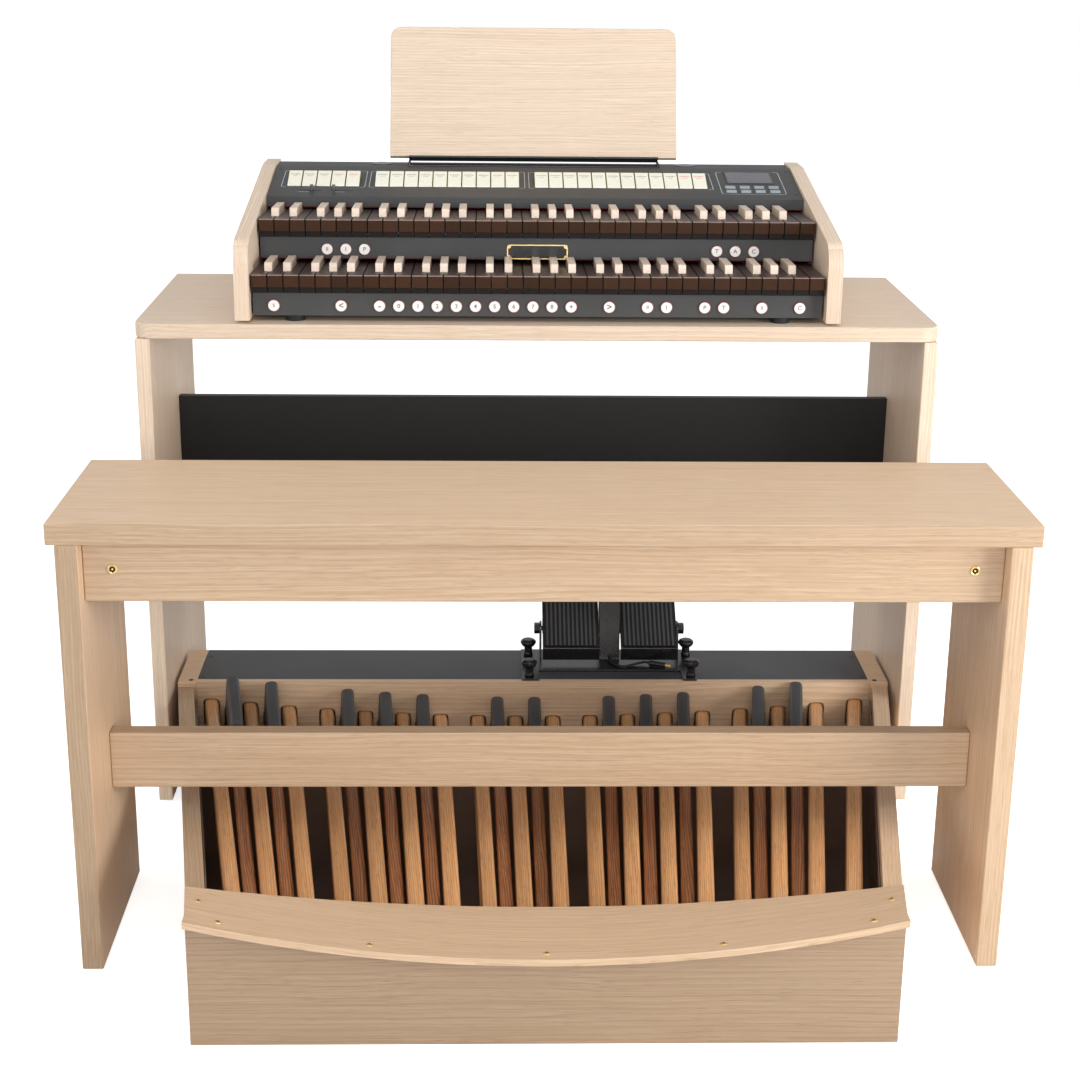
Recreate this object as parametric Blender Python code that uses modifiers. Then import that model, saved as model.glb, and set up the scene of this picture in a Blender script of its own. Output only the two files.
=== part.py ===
"""Two-manual portable organ with its stand, bench, pedalboard and expression pedals.

Metres, +Z up, +X to the player's right, +Y away from the player. Every part is first laid out
from the stand's front edge, with the floor at Z = 0, and hangs on one empty that centres the
whole set on the origin.
"""
import math

import bmesh
import bpy
from mathutils import Matrix, Vector

# Shared clearances and small stock
GAP = 0.0003
EDGE_RADIUS = 0.0012
ROUND_SIDES = 12

# Stand
STAND_TO_TOE_BOX = 0.0056
STAND_DEPTH = 0.428
STAND_HEIGHT = 0.7705
STAND_TOP_THICKNESS = 0.0223
STAND_CORNER_RADIUS = 0.030
STAND_LEG_THICKNESS = 0.0215
STAND_LEG_INSET = 0.0024
STAND_LEG_DEPTH = 0.412
MODESTY_SETBACK = 0.240
MODESTY_THICKNESS = 0.016
MODESTY_DROP = 0.1432
MODESTY_OVER_TREADLES = 0.0040

# Bench
BENCH_WIDTH = 1.246
BENCH_DEPTH = 0.301
BENCH_HEIGHT = 0.625
BENCH_FRONT = -0.5226
BENCH_SEAT_THICKNESS = 0.0285
BENCH_LEG_THICKNESS = 0.028
BENCH_LEG_INSET = 0.011
BENCH_LEG_DEPTH = 0.281
BENCH_APRON_HEIGHT = 0.083
BENCH_APRON_THICKNESS = 0.022
BENCH_APRON_SETBACK = 0.0278
STRETCHER_SETBACK = 0.1237
STRETCHER_THICKNESS = 0.0257
STRETCHER_HEIGHT = 0.080
STRETCHER_TOP = 0.2917

# Console body
CONSOLE_INNER_WIDTH = 0.851
CHEEK_THICKNESS = 0.022
CHEEK_FRONT = 0.005
CHEEK_BACK = 0.500
CHEEK_CLEAR_OF_STAND = 0.0045
CHEEK_NOSE_HEIGHT = 0.1127
CHEEK_TOP_HEIGHT = 0.1785
CHEEK_TOP_LENGTH = 0.072
CHEEK_NOSE_RADIUS = 0.038
CHEEK_TOP_RADIUS = 0.060
SHEET = 0.0015
FOOT_HEIGHT = 0.0085
REAR_PANEL_SETBACK = 0.0105
FOOT_RADIUS = 0.0145
FOOT_SPACING = 0.724
FOOT_FRONT = 0.0395
FOOT_BACK = 0.395
PANEL_FRONT = 0.267
PANEL_FACE_HEIGHT = 0.0155
PANEL_ABOVE_KEYS = 0.080
PANEL_SLOPE_DEPTH = 0.163
PANEL_SLOPE_RISE = 0.028
PANEL_SHEET = 0.002
RAIL_DEPTH = 0.012
RAIL_SHEET = 0.002
RAIL_END_GAP = 0.0028
RAIL_TAB_DEPTH = 0.010

# Manuals
NATURAL_COUNT = 36
KEY_PITCH = 0.0235
KEY_GAP = 0.0008
KEY_LENGTH = 0.225
KEY_PIVOT_FROM_FRONT = 0.205
KEY_BODY_HEIGHT = 0.016
KEY_NOSE_HEIGHT = 0.0185
KEY_FASCIA_HEIGHT = 0.027
KEY_FASCIA_DEPTH = 0.012
KEY_LIP_RECESS = 0.004
KEY_REST_TILT = math.radians(2.0)
KEY_DIP = 0.010
COMB_FRONT = 0.2035
COMB_DEPTH = 0.0105
COMB_HEIGHT = 0.0045
COMB_CLEARANCE = 0.0015
SHARP_FRONT = 0.040
SHARP_BLOCK_END = 0.126
SHARP_RISE = 0.0123
SHARP_WIDTH = 0.0112
SHARP_RAKE = 0.004
SHARP_NOTCH_CLEARANCE = 0.0009
SHARP_OFFSETS = {0: -0.0022, 1: 0.0022, 3: -0.0030, 4: 0.0, 5: 0.0030}
OCTAVE = 7
LOWER_FRONT = 0.012
KEYS_ABOVE_TRAY = 0.063
MANUAL_SETBACK = 0.116
MANUAL_RISE = 0.0645
RAIL_BEHIND_KEYS = 0.015
RAIL_BELOW_KEYS = 0.0288
LOWER_RAIL_HEIGHT = 0.0342
MIDDLE_RAIL_HEIGHT = 0.0320
FRAME_SHEET = 0.0015
FRAME_RIB = 0.012
FRAME_STOP_FROM_FRONT = 0.050
FRAME_BELOW_KEYS = 0.0435

# Thumb pistons, in steps of one pitch from the first numbered piston
PISTON_RADIUS = 0.0090
PISTON_PROUD = 0.0032
PISTON_LENGTH = 0.012
PISTON_BAR_HEIGHT = 0.006
PISTON_BAR_DEPTH = 0.003
PISTON_PITCH = 0.02838
PISTON_ORIGIN = -0.2357
PISTON_STEPS_LOWER = (-5.5, -2, 0, 1, 2, 3, 4, 5, 6, 7, 8, 9, 10, 12, 14, 15, 17, 18, 20, 22)
PISTON_STEPS_MIDDLE = (-3, -2, -1, 18, 19, 20)
PISTON_BELOW_LOWER_TOP = 0.0190
PISTON_BELOW_MIDDLE_TOP = 0.0182
PLATE_WIDTH = 0.093
PLATE_HEIGHT = 0.0225
PLATE_THICKNESS = 0.0015

# Control panel fittings, measured up the slope from the panel's front edge
TAB_PITCH = 0.0233
TAB_GAP = 0.0006
TAB_LENGTH = 0.050
TAB_FRONT = 0.056
TAB_COUNTS = {"left": 5, "middle": 10, "right": 12}
TAB_GROUP_LEFTS = {"left": -0.3985, "middle": -0.2583, "right": -0.0015}
TAB_PIVOT_DEPTH = 0.007
TAB_ROD_RADIUS = 0.002
TAB_FRONT_RISE = 0.0015
TAB_CREASE_FROM_FRONT = 0.017
TAB_CREASE_RISE = 0.0045
TAB_BACK_RISE = 0.0105
TAB_WINDOW_CLEARANCE = 0.0012
HUB_REACH = 0.008
HUB_HEIGHT = 0.005
LUG_WIDTH = 0.004
LUG_DEPTH = 0.012
SLIDER_CENTRES = {"left": -0.3600, "right": -0.3080}
SLIDER_RESTS = {"left": -0.3563, "right": -0.3215}
SLIDER_TRAVEL = 0.015
SLIDER_UP_SLOPE = 0.0320
SLIDER_WIDTH = 0.005
SLIDER_DEPTH = 0.008
SLIDER_HEIGHT = 0.0095
SLIDER_STEM = 0.0020
SLOT_WIDTH = 0.0028
SCREEN_CENTRE = 0.3503
SCREEN_WIDTH = 0.0762
SCREEN_LENGTH = 0.0635
SCREEN_FRONT = 0.0835
SCREEN_PROUD = 0.0008
BUTTON_CENTRE = 0.3495
BUTTON_WIDTH = 0.0162
BUTTON_LENGTH = 0.0085
BUTTON_PROUD = 0.0026
BUTTON_PITCH = 0.0234
BUTTON_ROWS = (0.0385, 0.0605)
BUTTON_COLUMNS = 4
RECESS_SPACING = 0.509
RECESS_RADIUS = 0.018
RECESS_SETBACK = 0.030

# Inside the console
BOARD_WIDTH = 0.420
BOARD_DEPTH = 0.160
BOARD_FRONT = 0.280
BOARD_THICKNESS = 0.0016
SPACER_RADIUS = 0.004
SPACER_HEIGHT = 0.008
SOCKET_COUNT = 6
SOCKET_PITCH = 0.030
SOCKET_RADIUS = 0.007
SOCKET_LENGTH = 0.006
SOCKET_RISE = 0.040
INLET_WIDTH = 0.048
INLET_HEIGHT = 0.028

# Music desk
DESK_WIDTH = 0.480
DESK_HEIGHT = 0.2241
DESK_THICKNESS = 0.012
DESK_CORNER_RADIUS = 0.020
DESK_LEAN = math.radians(23.7)
DESK_FOOT = 0.470
DESK_FOOT_HEIGHT = 0.0126
BRACKET_WIDTH = 0.417
BRACKET_SHEET = 0.003
BRACKET_LEDGE = 0.0060
BRACKET_BACK_HEIGHT = 0.060
BRACKET_FOOT_FRONT = 0.437
BRACKET_FOOT_DEPTH = 0.030

# Pedalboard
RADIAL_CENTRE = -2.850
PEDAL_STEP = math.radians(1.18)
PEDAL_NATURALS = 18
PEDAL_SHARPS_AFTER = (0, 1, 3, 4, 5, 7, 8, 10, 11, 12, 14, 15)
PEDAL_WIDTH = 0.0220
PEDAL_HEIGHT = 0.030
PEDAL_SHARP_WIDTH = 0.0185
PEDAL_SHARP_DROP = 0.010
PEDAL_ROUND = 0.008
PEDAL_HEEL_END = -0.660
PEDAL_SHARP_HEEL_END = -0.674
PEDAL_BAR_DEPTH = 0.008
PEDAL_BAR_HEIGHT = 0.007
PEDAL_TOE_END = 0.110
PEDAL_HEEL_STATION = -0.590
PEDAL_HEEL_TOP = 0.107
PEDAL_HEEL_CURVE = 0.046
PEDAL_TOE_TOP = 0.121
PEDAL_TOE_CURVE = 0.029
PEDAL_PIVOT = -0.645
PEDAL_DIP = 0.013
CAP_LENGTH = 0.150
CAP_WIDTH = 0.020
CAP_CLEAR_OF_BOARD = 0.010
CAP_FRONT_RISE = 0.0342
CAP_BACK_RISE = 0.0482
CAP_CURVE = 0.009
CAP_LEAN = 0.0045
CAP_ROUND = 0.008
CAP_EDGE = 0.004
HEEL_BOARD_FRONT = -0.701
HEEL_BOARD_THICKNESS = 0.022
HEEL_BOARD_INSET = 0.0015
HEEL_CAP_OVERHANG = 0.020
HEEL_CAP_THICKNESS = 0.0095
HEEL_CAP_TOP = 0.130
HEEL_CAP_BACK = -0.5865
HEEL_CAP_ARC_RADIUS = 1.895
HEEL_RAIL_DEPTH = 0.033
SIDE_RAIL_THICKNESS = 0.025
SIDE_RAIL_HEIGHT = 0.172
RAIL_TOE_CLEARANCE = 0.01628
RAIL_HEEL_CLEARANCE = 0.02434
TOE_BOARD_FRONT = 0.065
TOE_BOARD_THICKNESS = 0.012
TOE_BOX_SIDE = 0.030
TOE_BOX_BACK = 0.208
TOE_BOX_BACK_THICKNESS = 0.018
TOE_BOX_HEIGHT = 0.180
TOE_PLATE_THICKNESS = 0.003
SLOT_SIDE_CLEARANCE = 0.002
SLOT_TOP_CLEARANCE = 0.0015
FLOOR_PANEL_RISE = 0.010
FLOOR_PANEL_THICKNESS = 0.006

# Expression pedals
BASE_LEFT = -0.020
BASE_RIGHT = 0.261
BASE_FRONT_LAP = 0.007
BASE_BACK_SETBACK = 0.004
BASE_NOTCH_DEPTH = 0.040
BASE_TAB_LEFT = 0.028
BASE_TAB_RIGHT = 0.023
BASE_THICKNESS = 0.003
TREADLE_WIDTH = 0.0925
TREADLE_LEFT_CENTRE = 0.0612
TREADLE_RIGHT_CENTRE = 0.1885
TREADLE_LENGTH = 0.210
TREADLE_THICKNESS = 0.006
TREADLE_LIP = 0.022
TREADLE_LIP_THICKNESS = 0.005
TREADLE_SLOPE = math.radians(34.0)
TREADLE_PIVOT_SETBACK = 0.022
TREADLE_PIVOT_RISE = 0.0457
TREADLE_FRONT_FROM_PIVOT = 0.052
TREADLE_TOP_ABOVE_PIVOT = 0.015
TREADLE_LUG_THICKNESS = 0.008
TREADLE_LUG_RADIUS = 0.009
PAD_THICKNESS = 0.003
PAD_MARGIN = 0.004
PAD_RIBS = 12
PAD_RIB_HEIGHT = 0.0008
PIVOT_ROD_RADIUS = 0.004
ROD_CLEARANCE = 0.0004
UPRIGHT_THICKNESS = 0.003
UPRIGHT_LENGTH = 0.036
EAR_LENGTH = 0.009
EAR_RADIUS = 0.0095
HOUSING_CLEARANCE = 0.0007
HOUSING_LENGTH = 0.048
HOUSING_RISE = 0.068
KNOB_RADIUS = 0.0130
KNOB_HEIGHT = 0.028
KNOB_FROM_LEFT = 0.012
KNOB_FROM_RIGHT = 0.0085
KNOB_FROM_FRONT = 0.0145
KNOB_FROM_BACK = 0.026
LEAD_RADIUS = 0.0020
PLUG_RADIUS = 0.0045
PLUG_LENGTH = 0.028
PLUG_TIP_RADIUS = 0.0028
PLUG_TIP_LENGTH = 0.010
PLUG_TURN = math.radians(-25.0)
PLUG_FROM_FRONT = 0.0591
PLUG_LEFT = 0.1887

# Values that follow from the sizes above
FAN_HALF_ANGLE = PEDAL_STEP * (PEDAL_NATURALS - 1) / 2
HEEL_BOARD_BACK = HEEL_BOARD_FRONT + HEEL_BOARD_THICKNESS


def fan_edge(y):
    """The outer edge of the outermost pedal."""
    return (y - RADIAL_CENTRE) * math.tan(FAN_HALF_ANGLE) + PEDAL_WIDTH / 2 / math.cos(FAN_HALF_ANGLE)


RAIL_OUTER_TOE = fan_edge(TOE_BOARD_FRONT) + RAIL_TOE_CLEARANCE + SIDE_RAIL_THICKNESS
RAIL_OUTER_HEEL = fan_edge(HEEL_BOARD_BACK) + RAIL_HEEL_CLEARANCE + SIDE_RAIL_THICKNESS
SIDE_RAIL_FLARE = (RAIL_OUTER_TOE - RAIL_OUTER_HEEL) / (TOE_BOARD_FRONT - HEEL_BOARD_BACK)
TOE_BOX_WIDTH = 2 * RAIL_OUTER_TOE
STAND_WIDTH = TOE_BOX_WIDTH + 2 * (STAND_TO_TOE_BOX + STAND_LEG_THICKNESS + STAND_LEG_INSET)
CONSOLE_HALF = CONSOLE_INNER_WIDTH / 2
CHEEK_BOTTOM = STAND_HEIGHT + CHEEK_CLEAR_OF_STAND
TRAY_BOTTOM = STAND_HEIGHT + FOOT_HEIGHT
TRAY_FRONT = LOWER_FRONT + RAIL_BEHIND_KEYS + RAIL_DEPTH + GAP
TRAY_TOP = TRAY_BOTTOM + SHEET
LOWER_TOP = TRAY_BOTTOM + KEYS_ABOVE_TRAY
PANEL_FRONT_TOP = LOWER_TOP + PANEL_ABOVE_KEYS
PANEL_SLOPE = math.atan2(PANEL_SLOPE_RISE, PANEL_SLOPE_DEPTH)
PANEL_BEND = PANEL_FRONT + PANEL_SLOPE_DEPTH
PANEL_TOP = PANEL_FRONT_TOP + PANEL_SLOPE_RISE
PANEL_BACK = CHEEK_BACK - REAR_PANEL_SETBACK + 2 * SHEET
UPPER_FRONT = LOWER_FRONT + MANUAL_SETBACK
UPPER_TOP = LOWER_TOP + MANUAL_RISE
DESK_FOOT_TOP = PANEL_TOP + DESK_FOOT_HEIGHT
DESK_BACK = DESK_FOOT + DESK_HEIGHT * math.sin(DESK_LEAN) + DESK_THICKNESS * math.cos(DESK_LEAN)
HEEL_CAP_FRONT = HEEL_BOARD_FRONT - HEEL_CAP_OVERHANG
ORIGIN_Y = (DESK_BACK + HEEL_CAP_FRONT) / 2
TOE_PLATE_TOP = TOE_BOX_HEIGHT
BASE_BOTTOM = TOE_PLATE_TOP + GAP
BASE_TOP = BASE_BOTTOM + BASE_THICKNESS
BASE_FRONT = TOE_BOARD_FRONT + TOE_BOARD_THICKNESS - BASE_FRONT_LAP
BASE_BACK = TOE_BOX_BACK - BASE_BACK_SETBACK
TREADLE_PIVOT = (BASE_BACK - TREADLE_PIVOT_SETBACK, BASE_TOP + TREADLE_PIVOT_RISE)
TREADLE_FACE = TREADLE_TOP_ABOVE_PIVOT + GAP + PAD_THICKNESS
MODESTY_BOTTOM = (TREADLE_PIVOT[1] + TREADLE_FACE / math.cos(TREADLE_SLOPE) + MODESTY_OVER_TREADLES
                  + (MODESTY_SETBACK + MODESTY_THICKNESS - TREADLE_PIVOT[0]) * math.tan(TREADLE_SLOPE))
KNOB_STATIONS = {"front_left": (BASE_LEFT + KNOB_FROM_LEFT, BASE_FRONT + KNOB_FROM_FRONT),
                 "back_left": (BASE_LEFT + KNOB_FROM_LEFT, BASE_BACK - KNOB_FROM_BACK),
                 "front_right": (BASE_RIGHT - KNOB_FROM_RIGHT, BASE_FRONT + KNOB_FROM_FRONT),
                 "back_right": (BASE_RIGHT - KNOB_FROM_RIGHT, BASE_BACK - KNOB_FROM_BACK)}
PLUG_FRONT = BASE_FRONT + PLUG_FROM_FRONT
PANEL_FRAME = (Matrix.Translation((0, PANEL_FRONT, PANEL_FRONT_TOP))
               @ Matrix.Rotation(PANEL_SLOPE, 4, "X"))


# Scene

def clear_scene():
    for old in list(bpy.data.objects):
        bpy.data.objects.remove(old, do_unlink=True)


def new_collection(name):
    collection = bpy.data.collections.new(name)
    bpy.context.scene.collection.children.link(collection)
    return collection


def finish_material(name, colour, roughness, metallic=0.0):
    material = bpy.data.materials.new(name)
    material.use_nodes = True
    shader = material.node_tree.nodes["Principled BSDF"]
    shader.inputs["Base Color"].default_value = (*colour, 1.0)
    shader.inputs["Roughness"].default_value = roughness
    shader.inputs["Metallic"].default_value = metallic
    return material


clear_scene()
PARTS = new_collection("portable_organ")
CUTTERS = new_collection("cutters")
DATUM = bpy.data.objects.new("organ_datum", None)
DATUM.location = (0, -ORIGIN_Y, 0)
PARTS.objects.link(DATUM)


# Mesh builders

def finished_mesh(bm):
    bmesh.ops.recalc_face_normals(bm, faces=bm.faces)
    mesh = bpy.data.meshes.new("shape")
    bm.to_mesh(mesh)
    bm.free()
    return mesh


def box_mesh(low, high):
    low, high = Vector(low), Vector(high)
    bm = bmesh.new()
    bmesh.ops.create_cube(bm, size=1.0)
    bmesh.ops.scale(bm, vec=high - low, verts=bm.verts)
    bmesh.ops.translate(bm, vec=(low + high) / 2, verts=bm.verts)
    return finished_mesh(bm)


def rod_mesh(start, length, radius, axis="Z", sides=ROUND_SIDES):
    """A round bar that runs from start along one axis."""
    bm = bmesh.new()
    bmesh.ops.create_cone(bm, cap_ends=True, segments=sides, radius1=radius, radius2=radius,
                          depth=length)
    bmesh.ops.translate(bm, vec=(0, 0, length / 2), verts=bm.verts)
    turn = {"X": Matrix.Rotation(math.pi / 2, 4, "Y"), "Y": Matrix.Rotation(-math.pi / 2, 4, "X"),
            "Z": Matrix.Identity(4)}[axis]
    bmesh.ops.transform(bm, matrix=Matrix.Translation(start) @ turn, verts=bm.verts)
    return finished_mesh(bm)


def welded_mesh(curve_object):
    """The closed mesh of a curve object, which is then removed."""
    evaluated = curve_object.evaluated_get(bpy.context.evaluated_depsgraph_get())
    mesh = bpy.data.meshes.new_from_object(evaluated)
    mesh.transform(curve_object.matrix_world)
    bpy.data.objects.remove(curve_object, do_unlink=True)
    bm = bmesh.new()
    bm.from_mesh(mesh)
    bpy.data.meshes.remove(mesh)
    bmesh.ops.remove_doubles(bm, verts=bm.verts, dist=1e-5)
    return finished_mesh(bm)


def outline_mesh(outline, low, high, axis):
    """A flat outline, drawn looking along an axis, as a slab from low to high on that axis.

    The outline's pairs are (y, z) along X, (x, z) along Y and (x, y) along Z.
    """
    curve = bpy.data.curves.new("outline", "CURVE")
    curve.dimensions = "2D"
    curve.fill_mode = "BOTH"
    curve.extrude = (high - low) / 2
    spline = curve.splines.new("POLY")
    spline.points.add(len(outline) - 1)
    for point, (across, up) in zip(spline.points, outline):
        point.co = (across, up, 0, 1)
    spline.use_cyclic_u = True
    holder = bpy.data.objects.new("outline", curve)
    PARTS.objects.link(holder)
    middle = (low + high) / 2
    turn = {"X": Matrix(((0, 0, 1, 0), (1, 0, 0, 0), (0, 1, 0, 0), (0, 0, 0, 1))),
            "Y": Matrix(((1, 0, 0, 0), (0, 0, -1, 0), (0, 1, 0, 0), (0, 0, 0, 1))),
            "Z": Matrix.Identity(4)}[axis]
    place = {"X": (middle, 0, 0), "Y": (0, middle, 0), "Z": (0, 0, middle)}[axis]
    mesh = welded_mesh(holder)
    mesh.transform(Matrix.Translation(place) @ turn)
    return mesh


def tube_mesh(route, radius, resolution=2):
    """A round lead through a smooth curve of points, with flat ends."""
    curve = bpy.data.curves.new("lead", "CURVE")
    curve.dimensions = "3D"
    curve.bevel_depth = radius
    curve.bevel_resolution = resolution
    curve.use_fill_caps = True
    spline = curve.splines.new("POLY")
    spline.points.add(len(route) - 1)
    for point, place in zip(spline.points, route):
        point.co = (*place, 1)
    holder = bpy.data.objects.new("lead", curve)
    PARTS.objects.link(holder)
    return welded_mesh(holder)


def turned_mesh(profile, steps=16):
    """A solid of revolution about Z from a profile of (radius, height), top to bottom."""
    mesh = bpy.data.meshes.new("profile")
    points = [(radius, 0, height) for radius, height in profile]
    mesh.from_pydata(points, [(n, n + 1) for n in range(len(points) - 1)], [])
    holder = bpy.data.objects.new("turned", mesh)
    PARTS.objects.link(holder)
    screw = holder.modifiers.new("turn", "SCREW")
    screw.axis = "Z"
    screw.steps = steps
    screw.render_steps = steps
    screw.use_merge_vertices = True
    screw.merge_threshold = 1e-5
    return welded_mesh(holder)


def joined(meshes):
    bm = bmesh.new()
    for mesh in meshes:
        bm.from_mesh(mesh)
        bpy.data.meshes.remove(mesh)
    return finished_mesh(bm)


def placed(mesh, matrix):
    mesh.transform(matrix)
    return mesh


def rounded(corners, steps=3):
    """An outline of (across, up, radius) corners, each turned into an arc where it has a radius."""
    points = []
    for n, (x, y, radius) in enumerate(corners):
        here = Vector((x, y))
        if not radius:
            points.append((x, y))
            continue
        before = Vector(corners[n - 1][:2])
        after = Vector(corners[(n + 1) % len(corners)][:2])
        into, out = (before - here).normalized(), (after - here).normalized()
        half = into.angle(out) / 2
        reach = min(radius / math.tan(half), (before - here).length / 2, (after - here).length / 2)
        start, end = here + into * reach, here + out * reach
        for step in range(steps + 1):
            t = step / steps
            point = (1 - t) ** 2 * start + 2 * t * (1 - t) * here + t ** 2 * end
            points.append(tuple(point))
    return points


# Objects

def add_part(name, mesh, material, pivot=(0, 0, 0), tilt=0.0):
    """One named part, with its origin on its pivot and an optional turn about X there."""
    mesh.name = name
    mesh.transform(Matrix.Translation(-Vector(pivot)))
    mesh.materials.clear()
    mesh.materials.append(material)
    part = bpy.data.objects.new(name, mesh)
    part.parent = DATUM
    part.location = pivot
    part.rotation_euler = (tilt, 0, 0)
    PARTS.objects.link(part)
    return part


def shape_with(part, mesh, operation="DIFFERENCE", solver="EXACT"):
    """Cut or extend a part by a second shape, laid out in the same place."""
    mesh.transform(Matrix.Translation(-part.location))
    tool = bpy.data.objects.new(part.name + "_tool", mesh)
    tool.parent = part
    tool.hide_render = True
    tool.display_type = "WIRE"
    CUTTERS.objects.link(tool)
    boolean = part.modifiers.new(operation.lower(), "BOOLEAN")
    boolean.operation = operation
    boolean.solver = solver
    boolean.object = tool


def ease_edges(part, width=EDGE_RADIUS, segments=1):
    bevel = part.modifiers.new("edges", "BEVEL")
    bevel.width = width
    bevel.segments = segments
    bevel.limit_method = "ANGLE"
    bevel.angle_limit = math.radians(35)


def smooth_rounds(part):
    part.data.shade_smooth()
    part.data.set_sharp_from_angle(angle=math.radians(35))


# Materials

OAK = finish_material("pale_oak", (0.73, 0.56, 0.40), 0.45)
BLACK_PANEL = finish_material("black_laminate", (0.012, 0.012, 0.013), 0.50)
CHARCOAL = finish_material("charcoal_steel", (0.045, 0.047, 0.050), 0.55)
GREY_PLATE = finish_material("grey_steel", (0.075, 0.077, 0.085), 0.50)
WENGE = finish_material("dark_key_wood", (0.075, 0.040, 0.028), 0.45)
MAPLE = finish_material("maple", (0.74, 0.56, 0.40), 0.45)
IVORY = finish_material("ivory_plastic", (0.85, 0.83, 0.70), 0.35)
WHITE_PLASTIC = finish_material("white_plastic", (0.85, 0.83, 0.80), 0.35)
BLACK_PLASTIC = finish_material("black_plastic", (0.012, 0.012, 0.012), 0.35)
BUTTON_GREY = finish_material("grey_plastic", (0.42, 0.47, 0.52), 0.45)
SCREEN_GLASS = finish_material("screen_glass", (0.10, 0.09, 0.12), 0.10)
BRASS = finish_material("brass", (0.60, 0.42, 0.16), 0.30, 1.0)
STEEL = finish_material("bright_steel", (0.55, 0.55, 0.56), 0.35, 1.0)
RUBBER = finish_material("black_rubber", (0.014, 0.014, 0.015), 0.75)
PEDAL_WOOD = finish_material("pedal_wood", (0.55, 0.27, 0.11), 0.40)
PEDAL_DARK = finish_material("dark_pedal_wood", (0.30, 0.11, 0.055), 0.42)
CIRCUIT = finish_material("circuit_board", (0.02, 0.12, 0.05), 0.50)


# Stand

def build_stand():
    half = STAND_WIDTH / 2
    under_top = STAND_HEIGHT - STAND_TOP_THICKNESS
    corner = STAND_CORNER_RADIUS
    top_outline = rounded([(-half, 0, corner), (half, 0, corner),
                           (half, STAND_DEPTH, 0), (-half, STAND_DEPTH, 0)], steps=5)
    ease_edges(add_part("stand_top", outline_mesh(top_outline, under_top, STAND_HEIGHT, "Z"), OAK))
    outer = half - STAND_LEG_INSET
    inner = outer - STAND_LEG_THICKNESS
    for side, name in ((-1, "stand_leg_left"), (1, "stand_leg_right")):
        x_low, x_high = sorted((side * inner, side * outer))
        leg = box_mesh((x_low, 0, 0), (x_high, STAND_LEG_DEPTH, under_top - GAP))
        ease_edges(add_part(name, leg, OAK))
    panel_top = under_top - MODESTY_DROP
    panel = box_mesh((-inner + GAP, MODESTY_SETBACK, MODESTY_BOTTOM),
                     (inner - GAP, MODESTY_SETBACK + MODESTY_THICKNESS, panel_top))
    add_part("modesty_panel", panel, BLACK_PANEL)


# Bench

def build_bench():
    under_seat = BENCH_HEIGHT - BENCH_SEAT_THICKNESS
    half = BENCH_WIDTH / 2
    seat = box_mesh((-half, BENCH_FRONT, under_seat), (half, BENCH_FRONT + BENCH_DEPTH, BENCH_HEIGHT))
    ease_edges(add_part("bench_seat", seat, OAK))
    outer = half - BENCH_LEG_INSET
    inner = outer - BENCH_LEG_THICKNESS
    leg_back = BENCH_FRONT + BENCH_LEG_DEPTH
    for side, name in ((-1, "bench_leg_left"), (1, "bench_leg_right")):
        x_low, x_high = sorted((side * inner, side * outer))
        leg = box_mesh((x_low, BENCH_FRONT, 0), (x_high, leg_back, under_seat - GAP))
        ease_edges(add_part(name, leg, OAK))
    reach = inner - GAP
    apron_low = under_seat - BENCH_APRON_HEIGHT
    front = BENCH_FRONT + BENCH_APRON_SETBACK
    back = leg_back - BENCH_APRON_SETBACK
    aprons = {"bench_front_apron": (front, front + BENCH_APRON_THICKNESS),
              "bench_rear_apron": (back - BENCH_APRON_THICKNESS, back)}
    for name, (near, far) in aprons.items():
        apron = box_mesh((-reach, near, apron_low), (reach, far, under_seat - GAP))
        ease_edges(add_part(name, apron, OAK))
    near = BENCH_FRONT + STRETCHER_SETBACK
    stretcher = box_mesh((-reach, near, STRETCHER_TOP - STRETCHER_HEIGHT),
                         (reach, near + STRETCHER_THICKNESS, STRETCHER_TOP))
    ease_edges(add_part("bench_stretcher", stretcher, OAK))


# Console body

def build_cheeks():
    nose = CHEEK_BOTTOM + CHEEK_NOSE_HEIGHT
    top = CHEEK_BOTTOM + CHEEK_TOP_HEIGHT
    shoulder = CHEEK_BACK - CHEEK_TOP_LENGTH
    profile = rounded([(CHEEK_FRONT, CHEEK_BOTTOM, 0), (CHEEK_FRONT, nose, CHEEK_NOSE_RADIUS),
                       (shoulder, top, CHEEK_TOP_RADIUS), (CHEEK_BACK, top, 0),
                       (CHEEK_BACK, CHEEK_BOTTOM, 0)], steps=5)
    for side, name in ((-1, "cheek_left"), (1, "cheek_right")):
        low, high = sorted((side * CONSOLE_HALF, side * (CONSOLE_HALF + CHEEK_THICKNESS)))
        ease_edges(add_part(name, outline_mesh(profile, low, high, "X"), OAK))


def build_case():
    reach = CONSOLE_HALF - GAP
    back = CHEEK_BACK - REAR_PANEL_SETBACK
    tray = box_mesh((-reach, TRAY_FRONT, TRAY_BOTTOM), (reach, back - GAP, TRAY_TOP))
    tray_part = add_part("floor_tray", tray, CHARCOAL)
    foot_low = STAND_HEIGHT + GAP
    foot_height = FOOT_HEIGHT - 2 * GAP
    neck_root, neck_top = foot_low + foot_height / 2, TRAY_BOTTOM + SHEET / 2
    neck = FOOT_RADIUS / 3
    for side in (-1, 1):
        for y in (FOOT_FRONT, FOOT_BACK):
            x = side * FOOT_SPACING / 2
            foot = rod_mesh((x, y, foot_low), foot_height, FOOT_RADIUS)
            stem_y = max(y, TRAY_FRONT + neck + GAP)
            stem = rod_mesh((x, stem_y, neck_root), neck_top - neck_root, neck, sides=8)
            shape_with(tray_part, stem, "UNION")
            shape_with(tray_part, foot, "UNION")
    rear_top = PANEL_TOP - PANEL_SHEET - GAP
    rear = box_mesh((-reach, back, TRAY_TOP + GAP), (reach, back + SHEET, rear_top))
    add_part("rear_panel", rear, CHARCOAL)
    return back


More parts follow.
